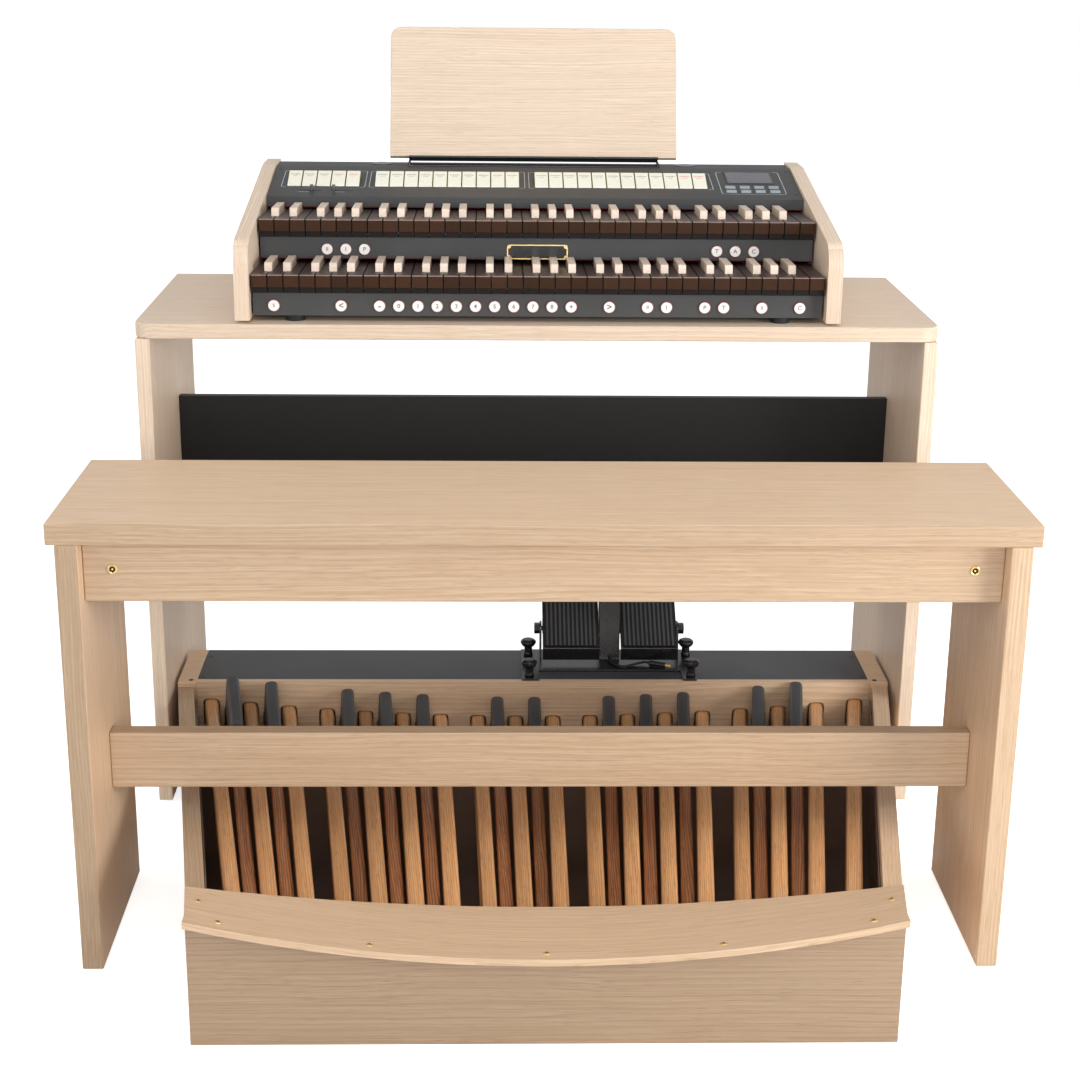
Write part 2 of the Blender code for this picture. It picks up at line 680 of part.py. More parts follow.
def rail_profile(front, top, height):
    """A channel that opens to the back."""
    back, low = front + RAIL_DEPTH, top - height
    inner, t = front + RAIL_SHEET, RAIL_SHEET
    return [(front, low), (back, low), (back, low + t), (inner, low + t),
            (inner, top - t), (back, top - t), (back, top), (front, top)]


def build_rail(name, piston_name, front, top, height, piston_drop, steps):
    reach = CONSOLE_HALF - RAIL_END_GAP
    rail = add_part(name, outline_mesh(rail_profile(front, top, height), -reach, reach, "X"), CHARCOAL)
    z = top - piston_drop
    centres = [PISTON_ORIGIN + step * PISTON_PITCH for step in steps]
    holes = [rod_mesh((x, front - RAIL_SHEET, z), 3 * RAIL_SHEET, PISTON_RADIUS + GAP, "Y")
             for x in centres]
    shape_with(rail, joined(holes))
    back = front + RAIL_DEPTH
    for side in (-1, 1):
        x_low, x_high = sorted((side * (reach - RAIL_SHEET), side * (CONSOLE_HALF - GAP)))
        tab = box_mesh((x_low, back - RAIL_TAB_DEPTH, top - RAIL_SHEET), (x_high, back, top))
        shape_with(rail, tab, "UNION")
    pistons = [rod_mesh((x, front - PISTON_PROUD, z), PISTON_LENGTH, PISTON_RADIUS, "Y")
               for x in centres]
    part = add_part(piston_name, joined(pistons), WHITE_PLASTIC, pivot=(0, front, z))
    smooth_rounds(part)
    behind = front - PISTON_PROUD + PISTON_LENGTH - SHEET / 2
    overlap, half = PISTON_RADIUS / 2, PISTON_BAR_HEIGHT / 2
    bar = box_mesh((min(centres) - overlap, behind - PISTON_BAR_DEPTH, z - half),
                   (max(centres) + overlap, behind, z + half))
    shape_with(part, bar, "UNION")
    return z


def build_rails():
    front, top = LOWER_FRONT + RAIL_BEHIND_KEYS, LOWER_TOP - RAIL_BELOW_KEYS
    build_rail("lower_rail", "pistons_lower", front, top, LOWER_RAIL_HEIGHT,
               PISTON_BELOW_LOWER_TOP, PISTON_STEPS_LOWER)
    front, top = UPPER_FRONT + RAIL_BEHIND_KEYS, UPPER_TOP - RAIL_BELOW_KEYS
    z = build_rail("middle_rail", "pistons_middle", front, top, MIDDLE_RAIL_HEIGHT,
                   PISTON_BELOW_MIDDLE_TOP, PISTON_STEPS_MIDDLE)
    z -= PLATE_HEIGHT / 8
    plate = box_mesh((-PLATE_WIDTH / 2, front - GAP - PLATE_THICKNESS, z - PLATE_HEIGHT / 2),
                     (PLATE_WIDTH / 2, front - GAP, z + PLATE_HEIGHT / 2))
    add_part("nameplate", plate, BRASS)


# Manuals

def key_pivot(front, top):
    """Where a manual's pivot lies once the keys are tilted up at their fronts."""
    along, up = KEY_PIVOT_FROM_FRONT, -KEY_BODY_HEIGHT
    cos, sin = math.cos(KEY_REST_TILT), math.sin(KEY_REST_TILT)
    return front + along * cos + up * sin, top - along * sin + up * cos


def sharp_stations():
    """The X of every sharp, from the manual's lowest natural upwards."""
    left = -NATURAL_COUNT * KEY_PITCH / 2
    for lower in range(NATURAL_COUNT - 1):
        if lower % OCTAVE in SHARP_OFFSETS:
            yield left + (lower + 1) * KEY_PITCH + SHARP_OFFSETS[lower % OCTAVE]


def build_manual(name):
    """One manual laid out level about its pivot: a comb of naturals and a comb of sharps.

    The naturals' comb bar runs low under the sharps' levers, and the sharps' bar runs behind it.
    """
    front, top = {"lower": (LOWER_FRONT, LOWER_TOP), "upper": (UPPER_FRONT, UPPER_TOP)}[name]
    pivot_y, pivot_z = key_pivot(front, top)
    y0, z0 = pivot_y - KEY_PIVOT_FROM_FRONT, pivot_z + KEY_BODY_HEIGHT
    body, nose = z0 - KEY_BODY_HEIGHT, z0 - KEY_NOSE_HEIGHT
    lip, fascia = y0 + KEY_LIP_RECESS, y0 + KEY_FASCIA_DEPTH
    bar, rear = y0 + COMB_FRONT, y0 + COMB_FRONT + COMB_DEPTH
    clear = SHARP_NOTCH_CLEARANCE
    pivot = (0, pivot_y, pivot_z)
    natural = [(y0, z0), (y0, nose), (lip, nose), (lip, z0 - KEY_FASCIA_HEIGHT),
               (fascia, z0 - KEY_FASCIA_HEIGHT), (fascia, body), (rear, body), (rear, z0)]
    left = -NATURAL_COUNT * KEY_PITCH / 2 + KEY_GAP / 2
    naturals = [outline_mesh(natural, left + n * KEY_PITCH, left + (n + 1) * KEY_PITCH - KEY_GAP, "X")
                for n in range(NATURAL_COUNT)]
    part = add_part(name + "_naturals", joined(naturals), WENGE, pivot, -KEY_REST_TILT)
    over_bar = body + COMB_HEIGHT
    comb = box_mesh((left + KEY_GAP, bar, body + GAP), (-left - KEY_GAP, rear - GAP, over_bar))
    shape_with(part, comb, "UNION")
    half = SHARP_WIDTH / 2
    notch = [(y0 + SHARP_FRONT - clear, body - clear), (bar, body - clear), (bar, over_bar),
             (rear + clear, over_bar), (rear + clear, z0 + clear), (y0 + SHARP_FRONT - clear, z0 + clear)]
    notches = [outline_mesh(notch, x - half - clear, x + half + clear, "X") for x in sharp_stations()]
    shape_with(part, joined(notches))
    face, crown = y0 + SHARP_FRONT, z0 + SHARP_RISE
    lever, end = z0 - clear, y0 + KEY_LENGTH
    raised = over_bar + COMB_CLEARANCE
    sharp = [(face, body), (face, z0), (face + SHARP_RAKE / 2, crown - SHARP_RAKE / 2),
             (face + SHARP_RAKE, crown), (y0 + SHARP_BLOCK_END, crown), (y0 + SHARP_BLOCK_END, lever),
             (end, lever), (end, raised), (bar - clear, raised), (bar - clear, body)]
    sharps = [outline_mesh(sharp, x - half, x + half, "X") for x in sharp_stations()]
    part = add_part(name + "_sharps", joined(sharps), MAPLE, pivot, -KEY_REST_TILT)
    reach = max(sharp_stations()) + half / 2
    first = min(sharp_stations()) - half / 2
    comb = box_mesh((first, rear + clear, raised + GAP), (reach, end - GAP, lever - GAP))
    shape_with(part, comb, "UNION")


def build_key_frame(name, front, top, base):
    """A pressed frame under a manual: a front stop rib and a stepped fulcrum rib on one floor."""
    reach = CONSOLE_HALF - GAP
    pivot_y, pivot_z = key_pivot(front, top)
    stop_y = front + FRAME_STOP_FROM_FRONT
    lever = KEY_PIVOT_FROM_FRONT - FRAME_STOP_FROM_FRONT
    underside = pivot_z + (pivot_y - stop_y - FRAME_RIB) * math.sin(KEY_REST_TILT)
    stop_z = underside - KEY_DIP * lever / KEY_PIVOT_FROM_FRONT - GAP
    floor = base + FRAME_SHEET
    rear = KEY_LENGTH - KEY_PIVOT_FROM_FRONT
    low_seat = pivot_z - rear * math.sin(KEY_REST_TILT) - GAP
    high_seat = low_seat + COMB_HEIGHT + COMB_CLEARANCE
    step = pivot_y + COMB_FRONT + COMB_DEPTH + SHARP_NOTCH_CLEARANCE - KEY_PIVOT_FROM_FRONT
    profile = [(stop_y, base), (pivot_y + rear, base), (pivot_y + rear, high_seat), (step, high_seat),
               (step, low_seat), (pivot_y, low_seat), (pivot_y, floor), (stop_y + FRAME_RIB, floor),
               (stop_y + FRAME_RIB, stop_z), (stop_y, stop_z)]
    add_part(name, outline_mesh(profile, -reach, reach, "X"), STEEL)


# Control panel and its fittings, laid out on the slope: X across, Y up the slope, Z off the sheet

def slope_box(low, high):
    return placed(box_mesh(low, high), PANEL_FRAME)


def tab_span(group):
    left = TAB_GROUP_LEFTS[group]
    return left, left + TAB_COUNTS[group] * TAB_PITCH


def lug_centres():
    """The tab rod's lugs: one outside each end group and one in each space between groups."""
    spans = [tab_span(group) for group in ("left", "middle", "right")]
    outside = LUG_WIDTH
    yield spans[0][0] - outside
    for near, far in zip(spans, spans[1:]):
        yield (near[1] + far[0]) / 2
    yield spans[-1][1] + outside


def build_control_panel():
    reach = CONSOLE_HALF - GAP
    t = PANEL_SHEET
    low = PANEL_FRONT_TOP - PANEL_FACE_HEIGHT
    profile = [(PANEL_FRONT, low), (PANEL_FRONT + t, low), (PANEL_FRONT + t, PANEL_FRONT_TOP - t),
               (PANEL_BEND, PANEL_TOP - t), (PANEL_BACK, PANEL_TOP - t), (PANEL_BACK, PANEL_TOP),
               (PANEL_BEND, PANEL_TOP), (PANEL_FRONT, PANEL_FRONT_TOP)]
    panel = add_part("control_panel", outline_mesh(profile, -reach, reach, "X"), CHARCOAL)
    rod_y = TAB_FRONT + TAB_LENGTH / 2
    lugs = [slope_box((x - LUG_WIDTH / 2, rod_y - LUG_DEPTH / 2, -TAB_PIVOT_DEPTH - LUG_DEPTH / 2),
                      (x + LUG_WIDTH / 2, rod_y + LUG_DEPTH / 2, -t / 2)) for x in lug_centres()]
    shape_with(panel, joined(lugs), "UNION")
    clear = TAB_WINDOW_CLEARANCE
    depth = 3 * t
    holes = []
    for group in TAB_COUNTS:
        left, right = tab_span(group)
        holes.append(slope_box((left - GAP, TAB_FRONT - clear, -depth),
                               (right + GAP, TAB_FRONT + TAB_LENGTH + clear, depth)))
    slot_reach = SLIDER_TRAVEL + SLIDER_WIDTH / 2 + GAP
    for centre in SLIDER_CENTRES.values():
        holes.append(slope_box((centre - slot_reach, SLIDER_UP_SLOPE - SLOT_WIDTH / 2, -depth),
                               (centre + slot_reach, SLIDER_UP_SLOPE + SLOT_WIDTH / 2, depth)))
    holes.append(slope_box((SCREEN_CENTRE - SCREEN_WIDTH / 2, SCREEN_FRONT, -depth),
                           (SCREEN_CENTRE + SCREEN_WIDTH / 2, SCREEN_FRONT + SCREEN_LENGTH, depth)))
    for x, y in button_centres():
        holes.append(slope_box((x - BUTTON_WIDTH / 2 - GAP, y - BUTTON_LENGTH / 2 - GAP, -depth),
                               (x + BUTTON_WIDTH / 2 + GAP, y + BUTTON_LENGTH / 2 + GAP, depth)))
    for side in (-1, 1):
        holes.append(rod_mesh((side * RECESS_SPACING / 2, CHEEK_BACK - RECESS_SETBACK, PANEL_TOP - t / 2),
                              t, RECESS_RADIUS, sides=20))
    shape_with(panel, joined(holes))
    first, last = min(lug_centres()), max(lug_centres())
    bore = rod_mesh((first - LUG_WIDTH, rod_y, -TAB_PIVOT_DEPTH), last - first + 2 * LUG_WIDTH,
                    TAB_ROD_RADIUS + GAP, "X")
    shape_with(panel, placed(bore, PANEL_FRAME))
    rod = rod_mesh((first - LUG_WIDTH / 2, rod_y, -TAB_PIVOT_DEPTH), last - first + LUG_WIDTH,
                   TAB_ROD_RADIUS, "X")
    add_part("tab_rod", placed(rod, PANEL_FRAME), STEEL)


def build_tabs():
    """Rocker tabs with two facets on top, each group on one hub that saddles the rod."""
    rod_y, back = TAB_FRONT + TAB_LENGTH / 2, TAB_FRONT + TAB_LENGTH
    pivot = PANEL_FRAME @ Vector((0, rod_y, -TAB_PIVOT_DEPTH))
    outline = [(TAB_FRONT, TAB_FRONT_RISE), (TAB_FRONT, -2 * PANEL_SHEET),
               (rod_y - HUB_REACH, -TAB_PIVOT_DEPTH), (rod_y + HUB_REACH, -TAB_PIVOT_DEPTH),
               (back, -PANEL_SHEET), (back, TAB_BACK_RISE),
               (TAB_FRONT + TAB_CREASE_FROM_FRONT, TAB_CREASE_RISE)]
    saddle = TAB_ROD_RADIUS + GAP
    hub_low = -TAB_PIVOT_DEPTH - TAB_ROD_RADIUS / 4
    for group, count in TAB_COUNTS.items():
        left, right = tab_span(group)
        tabs = [outline_mesh(outline, left + n * TAB_PITCH + TAB_GAP / 2,
                             left + (n + 1) * TAB_PITCH - TAB_GAP / 2, "X") for n in range(count)]
        part = add_part("tabs_" + group, placed(joined(tabs), PANEL_FRAME), IVORY, pivot)
        hub = slope_box((left + TAB_GAP, rod_y - HUB_REACH / 2, hub_low),
                        (right - TAB_GAP, rod_y + HUB_REACH / 2, hub_low + HUB_HEIGHT))
        shape_with(part, hub, "UNION")
        channel = [(rod_y - saddle, hub_low - saddle), (rod_y + saddle, hub_low - saddle),
                   (rod_y + saddle, -TAB_PIVOT_DEPTH), (rod_y + saddle / 2, saddle - TAB_PIVOT_DEPTH),
                   (rod_y - saddle / 2, saddle - TAB_PIVOT_DEPTH), (rod_y - saddle, -TAB_PIVOT_DEPTH)]
        shape_with(part, placed(outline_mesh(channel, left - TAB_PITCH, right + TAB_PITCH, "X"), PANEL_FRAME))


def build_sliders():
    stem, half = SLIDER_STEM / 2, SLIDER_DEPTH / 2
    seat, foot = 2 * GAP, -3 * PANEL_SHEET
    y = SLIDER_UP_SLOPE
    outline = [(y - stem, foot), (y + stem, foot), (y + stem, seat), (y + half, seat),
               (y + half / 2, SLIDER_HEIGHT), (y - half / 2, SLIDER_HEIGHT), (y - half, seat),
               (y - stem, seat)]
    for side, x in SLIDER_RESTS.items():
        cap = outline_mesh(outline, x - SLIDER_WIDTH / 2, x + SLIDER_WIDTH / 2, "X")
        pivot = PANEL_FRAME @ Vector((x, y, 0))
        add_part("slider_" + side, placed(cap, PANEL_FRAME), BLACK_PLASTIC, pivot)


def button_centres():
    left = BUTTON_CENTRE - (BUTTON_COLUMNS - 1) * BUTTON_PITCH / 2
    return [(left + column * BUTTON_PITCH, y) for y in BUTTON_ROWS for column in range(BUTTON_COLUMNS)]


def build_display():
    half, length = SCREEN_WIDTH / 2 - GAP, SCREEN_LENGTH - GAP
    screen = slope_box((SCREEN_CENTRE - half, SCREEN_FRONT + GAP, -PANEL_SHEET),
                       (SCREEN_CENTRE + half, SCREEN_FRONT + length, SCREEN_PROUD))
    add_part("display_screen", screen, SCREEN_GLASS)
    buttons = [slope_box((x - BUTTON_WIDTH / 2, y - BUTTON_LENGTH / 2, -2 * PANEL_SHEET),
                         (x + BUTTON_WIDTH / 2, y + BUTTON_LENGTH / 2, BUTTON_PROUD))
               for x, y in button_centres()]
    middle = PANEL_FRAME @ Vector((BUTTON_CENTRE, sum(BUTTON_ROWS) / 2, 0))
    part = add_part("display_buttons", joined(buttons), BUTTON_GREY, middle)
    across, along = zip(*button_centres())
    mat = slope_box((min(across), min(along), -2.5 * PANEL_SHEET),
                    (max(across), max(along), -1.5 * PANEL_SHEET))
    shape_with(part, mat, "UNION")


def build_electronics(back):
    low = TRAY_TOP + GAP
    board_low = low + SPACER_HEIGHT
    half = BOARD_WIDTH / 2
    board = box_mesh((-half, BOARD_FRONT, board_low),
                     (half, BOARD_FRONT + BOARD_DEPTH, board_low + BOARD_THICKNESS))
    part = add_part("main_board", board, CIRCUIT)
    inset = 2 * SPACER_RADIUS
    spacers = [rod_mesh((x, y, low), SPACER_HEIGHT + BOARD_THICKNESS / 2, SPACER_RADIUS, sides=8)
               for x in (-half + inset, half - inset)
               for y in (BOARD_FRONT + inset, BOARD_FRONT + BOARD_DEPTH - inset)]
    shape_with(part, joined(spacers), "UNION")
    y, z = back + SHEET + GAP, TRAY_TOP + SOCKET_RISE
    edge, rim = 2 * SOCKET_RADIUS, INLET_HEIGHT / 2
    plate = box_mesh((-half - edge, y, z - rim - edge),
                     (half + INLET_WIDTH + edge, y + SHEET, z + rim + edge))
    part = add_part("rear_sockets", plate, BLACK_PLASTIC)
    root, length = y + SHEET / 2, SOCKET_LENGTH
    sockets = [rod_mesh((-half + n * SOCKET_PITCH, root, z), length, SOCKET_RADIUS, "Y")
               for n in range(SOCKET_COUNT)]
    sockets.append(box_mesh((half, root, z - rim), (half + INLET_WIDTH, root + length, z + rim)))
    shape_with(part, joined(sockets), "UNION")


# Music desk, laid out in the board's own plane and then leant back

def build_desk():
    lean = (Matrix.Translation((0, DESK_FOOT, DESK_FOOT_TOP)) @ Matrix.Rotation(-DESK_LEAN, 4, "X"))
    half = DESK_WIDTH / 2
    outline = rounded([(-half, 0, 0), (half, 0, 0), (half, DESK_HEIGHT, DESK_CORNER_RADIUS),
                       (-half, DESK_HEIGHT, DESK_CORNER_RADIUS)], steps=5)
    board = placed(outline_mesh(outline, 0, DESK_THICKNESS, "Y"), lean)
    ease_edges(add_part("desk_board", board, OAK))
    t, reach = BRACKET_SHEET, BRACKET_WIDTH / 2
    back = DESK_THICKNESS + GAP
    angle = [(-BRACKET_LEDGE, -GAP), (-BRACKET_LEDGE, -GAP - t), (back + t, -GAP - t),
             (back + t, BRACKET_BACK_HEIGHT), (back, BRACKET_BACK_HEIGHT), (back, -GAP)]
    bracket = add_part("desk_bracket", placed(outline_mesh(angle, -reach, reach, "X"), lean), BLACK_PLASTIC)
    foot_low, foot_front = PANEL_TOP + GAP, BRACKET_FOOT_FRONT
    foot_back = foot_front + BRACKET_FOOT_DEPTH
    foot = box_mesh((-reach, foot_front, foot_low), (reach, foot_back, foot_low + t / 2))
    shape_with(bracket, foot, "UNION")
    for side in (-1, 1):
        low, high = sorted((side * reach, side * (reach - t)))
        upright = box_mesh((low, DESK_FOOT - 2 * t, foot_low),
                           (high, DESK_FOOT + 2 * t, DESK_FOOT_TOP - 2 * t))
        web = box_mesh((low, foot_front, foot_low), (high, DESK_FOOT, foot_low + 2 * t))
        shape_with(bracket, upright, "UNION")
        shape_with(bracket, web, "UNION")


# Pedalboard

def heel_cap_height(x):
    """The underside of the curved heel cap."""
    sagitta = HEEL_CAP_ARC_RADIUS - math.sqrt(HEEL_CAP_ARC_RADIUS ** 2 - x * x)
    return HEEL_CAP_TOP - HEEL_CAP_THICKNESS + sagitta


def side_rail_outer(y):
    return TOE_BOX_WIDTH / 2 - (TOE_BOARD_FRONT - y) * SIDE_RAIL_FLARE


def heel_arc(y_back, x_end, steps=16):
    """Points of the arc about the pedals' radial centre, from right to left."""
    radius = y_back - RADIAL_CENTRE
    sweep = math.asin(x_end / radius)
    angles = [sweep * (1 - 2 * n / steps) for n in range(steps + 1)]
    return [(radius * math.sin(angle), RADIAL_CENTRE + radius * math.cos(angle)) for angle in angles]


def build_heel():
    half = side_rail_outer(HEEL_BOARD_BACK) - HEEL_BOARD_INSET
    steps = 16
    stations = [half * (1 - 2 * n / steps) for n in range(steps + 1)]
    top = [(x, heel_cap_height(x) - GAP) for x in stations]
    board = outline_mesh([(-half, 0), (half, 0), *top], HEEL_BOARD_FRONT, HEEL_BOARD_BACK, "Y")
    add_part("heel_board", board, OAK)
    reach = side_rail_outer(HEEL_CAP_BACK)
    stations = [reach * (1 - 2 * n / steps) for n in range(steps + 1)]
    under = [(x, heel_cap_height(x)) for x in stations]
    over = [(x, heel_cap_height(x) + HEEL_CAP_THICKNESS) for x in reversed(stations)]
    cap = outline_mesh(under + over, HEEL_CAP_FRONT, HEEL_CAP_BACK, "Y")
    cap_part = add_part("heel_cap", cap, OAK)
    end = half
    for _ in range(12):
        end = side_rail_outer(heel_arc(HEEL_CAP_BACK, end)[0][1])
    clear = HEEL_CAP_THICKNESS
    plan = [(-half, HEEL_CAP_FRONT - clear), (half, HEEL_CAP_FRONT - clear), (half, HEEL_BOARD_FRONT),
            *heel_arc(HEEL_CAP_BACK, end), (-half, HEEL_BOARD_FRONT)]
    shape_with(cap_part, outline_mesh(plan, 0, 2 * HEEL_CAP_TOP, "Z"), "INTERSECT")


def build_side_rails():
    near, far = HEEL_BOARD_BACK + GAP, TOE_BOARD_FRONT - GAP
    wall = SIDE_RAIL_THICKNESS
    steps = 4
    for side, name in ((-1, "side_rail_left"), (1, "side_rail_right")):
        plan = [(side * side_rail_outer(near), near), (side * side_rail_outer(far), far),
                (side * (side_rail_outer(far) - wall), far), (side * (side_rail_outer(near) - wall), near)]
        rail = add_part(name, outline_mesh(plan, 0, SIDE_RAIL_HEIGHT, "Z"), OAK)
        inner, outer = side_rail_outer(near) - 2 * wall, side_rail_outer(near) + 2 * wall
        stations = [outer + (inner - outer) * n / steps for n in range(steps + 1)]
        seat = [(side * x, heel_cap_height(x) - GAP) for x in stations]
        above = [(side * inner, 2 * SIDE_RAIL_HEIGHT), (side * outer, 2 * SIDE_RAIL_HEIGHT)]
        arc_back = heel_arc(HEEL_CAP_BACK, inner)[0][1]
        shape_with(rail, outline_mesh(seat + above, near - wall, arc_back + 2 * GAP, "Y"))


def build_floor_panel():
    near, far = HEEL_BOARD_BACK + GAP, TOE_BOARD_FRONT - GAP
    slack = SIDE_RAIL_THICKNESS + GAP
    ends = [(side_rail_outer(near) - slack, near), (side_rail_outer(far) - slack, far)]
    plan = ends + [(-x, y) for x, y in reversed(ends)]
    low = FLOOR_PANEL_RISE
    add_part("floor_panel", outline_mesh(plan, low, low + FLOOR_PANEL_THICKNESS, "Z"), GREY_PLATE)


def pedal_stations():
    """Every pedal's place in the fan and whether it is a sharp, from left to right."""
    for n in range(PEDAL_NATURALS):
        yield n - (PEDAL_NATURALS - 1) / 2, False
        if n in PEDAL_SHARPS_AFTER:
            yield n + 0.5 - (PEDAL_NATURALS - 1) / 2, True


def pedal_section(sharp):
    """A pedal's width, height and drop below the naturals' tops."""
    if sharp:
        return PEDAL_SHARP_WIDTH, PEDAL_HEIGHT - PEDAL_SHARP_DROP, PEDAL_SHARP_DROP
    return PEDAL_WIDTH, PEDAL_HEIGHT, 0.0


def pedal_line(place, sharp):
    """A pedal's top at the toe board and its rise towards the toe per metre."""
    share = place / ((PEDAL_NATURALS - 1) / 2)
    drop = pedal_section(sharp)[2]
    heel = PEDAL_HEEL_TOP + PEDAL_HEEL_CURVE * share ** 2 - drop
    toe = PEDAL_TOE_TOP + PEDAL_TOE_CURVE * share ** 2 - drop
    return toe, (toe - heel) / (TOE_BOARD_FRONT - PEDAL_HEEL_STATION)


def pedal_frame(place, sharp):
    """The frame of one pedal: origin on its top line at the toe board's face, Y towards the toe."""
    angle = place * PEDAL_STEP
    toe, slope = pedal_line(place, sharp)
    x = (TOE_BOARD_FRONT - RADIAL_CENTRE) * math.tan(angle)
    return (Matrix.Translation((x, TOE_BOARD_FRONT, toe)) @ Matrix.Rotation(-angle, 4, "Z")
            @ Matrix.Rotation(math.atan(slope), 4, "X"))


def pedal_mesh(place, sharp):
    width, height, _ = pedal_section(sharp)
    half = width / 2
    section = rounded([(-half, -height, 0), (half, -height, 0), (half, 0, PEDAL_ROUND),
                       (-half, 0, PEDAL_ROUND)])
    reach = 1 / math.cos(place * PEDAL_STEP)
    heel = PEDAL_SHARP_HEEL_END if sharp else PEDAL_HEEL_END
    bar = outline_mesh(section, (heel - TOE_BOARD_FRONT) * reach,
                       (PEDAL_TOE_END - TOE_BOARD_FRONT) * reach, "Y")
    return placed(bar, pedal_frame(place, sharp))


def sharp_cap_mesh(place):
    """A black cap with a rounded back, rising towards the toe and leaning in towards the middle."""
    share = place / ((PEDAL_NATURALS - 1) / 2)
    back = -CAP_CLEAR_OF_BOARD
    front = back - CAP_LENGTH
    root = -PEDAL_SHARP_DROP / 2
    bm = bmesh.new()
    rings = []
    for y, rise, inset in ((front, CAP_FRONT_RISE - CAP_EDGE, CAP_EDGE / 4),
                           (front + CAP_EDGE, CAP_FRONT_RISE, 0), (back, CAP_BACK_RISE, 0)):
        half, top = CAP_WIDTH / 2 - inset, rise + CAP_CURVE * share ** 2
        lean = CAP_LEAN * share / (top - root)
        section = rounded([(-half, root, 0), (half, root, 0), (half, top, CAP_ROUND),
                           (-half, top, CAP_ROUND)])
        rings.append([bm.verts.new((x - lean * (z - root), y, z)) for x, z in section])
    for near, far in zip(rings, rings[1:]):
        for n in range(len(near)):
            bm.faces.new((near[n - 1], near[n], far[n], far[n - 1]))
    bm.faces.new(rings[0])
    bm.faces.new(reversed(rings[-1]))
    return placed(finished_mesh(bm), pedal_frame(place, True))


def cross_bar(y, depth, sharp, under, over):
    """A curved bar across the fan that ties one kind of pedal together at their heels."""
    ends = [place for place, kind in pedal_stations() if kind == sharp]
    places = [min(ends) + (max(ends) - min(ends)) * n / 16 for n in range(17)]
    tops = []
    for place in places:
        toe, slope = pedal_line(place, sharp)
        x = (y + depth / 2 - RADIAL_CENTRE) * math.tan(place * PEDAL_STEP)
        tops.append((x, toe + (y + depth / 2 - TOE_BOARD_FRONT) * slope))
    outline = [(x, z + under) for x, z in tops] + [(x, z + over) for x, z in reversed(tops)]
    return outline_mesh(outline, y, y + depth, "Y")


def build_pedals():
    pivot = (0, PEDAL_PIVOT, PEDAL_HEEL_TOP - PEDAL_HEIGHT)
    places = list(pedal_stations())
    naturals = [pedal_mesh(place, sharp) for place, sharp in places if not sharp]
    part = add_part("pedal_naturals", joined(naturals), PEDAL_WOOD, pivot)
    bar = cross_bar(PEDAL_HEEL_END + GAP * 10, PEDAL_BAR_DEPTH, False, -PEDAL_BAR_HEIGHT, -GAP * 5)
    shape_with(part, bar, "UNION")
    sharps = [pedal_mesh(place, sharp) for place, sharp in places if sharp]
    part = add_part("pedal_sharps", joined(sharps), PEDAL_DARK, pivot)
    bar = cross_bar(PEDAL_SHARP_HEEL_END + GAP * 5, PEDAL_BAR_DEPTH, True,
                    2 * PEDAL_BAR_HEIGHT - PEDAL_HEIGHT, -GAP * 10)
    shape_with(part, bar, "UNION")
    caps = [sharp_cap_mesh(place) for place, sharp in places if sharp]
    shape_with(part, joined(caps), "UNION")


def build_heel_rail():
    """The rail that carries the pedals' heels, stepped to meet each pedal's flat underside."""
    near = HEEL_BOARD_BACK + GAP
    steps = []
    for place, sharp in pedal_stations():
        toe, slope = pedal_line(place, sharp)
        height = pedal_section(sharp)[1]
        depth = (near - TOE_BOARD_FRONT) * slope
        lowest = min(depth, (near + HEEL_RAIL_DEPTH - TOE_BOARD_FRONT) * slope)
        steps.append((place, toe + lowest - height - 2 * GAP))
    lever = near + HEEL_RAIL_DEPTH / 2 - RADIAL_CENTRE
    spot = [lever * math.tan(place * PEDAL_STEP) for place, _ in steps]
    spread = 1 + HEEL_RAIL_DEPTH / 2 / lever
    middles = [(a + b) / 2 * spread for a, b in zip(spot, spot[1:])]
    edges = [spot[0] - PEDAL_WIDTH / 2, *middles, spot[-1] + PEDAL_WIDTH / 2]
    outline = []
    for (_, z), left, right in zip(steps, edges, edges[1:]):
        if outline and abs(outline[-1][1] - z) < GAP:
            outline[-1] = (right, outline[-1][1])
            continue
        outline += [(left, z), (right, z)]
    low = FLOOR_PANEL_RISE + FLOOR_PANEL_THICKNESS + GAP
    outline += [(edges[-1], low), (edges[0], low)]
    add_part("heel_rail", outline_mesh(outline, near, near + HEEL_RAIL_DEPTH, "Y"), OAK)


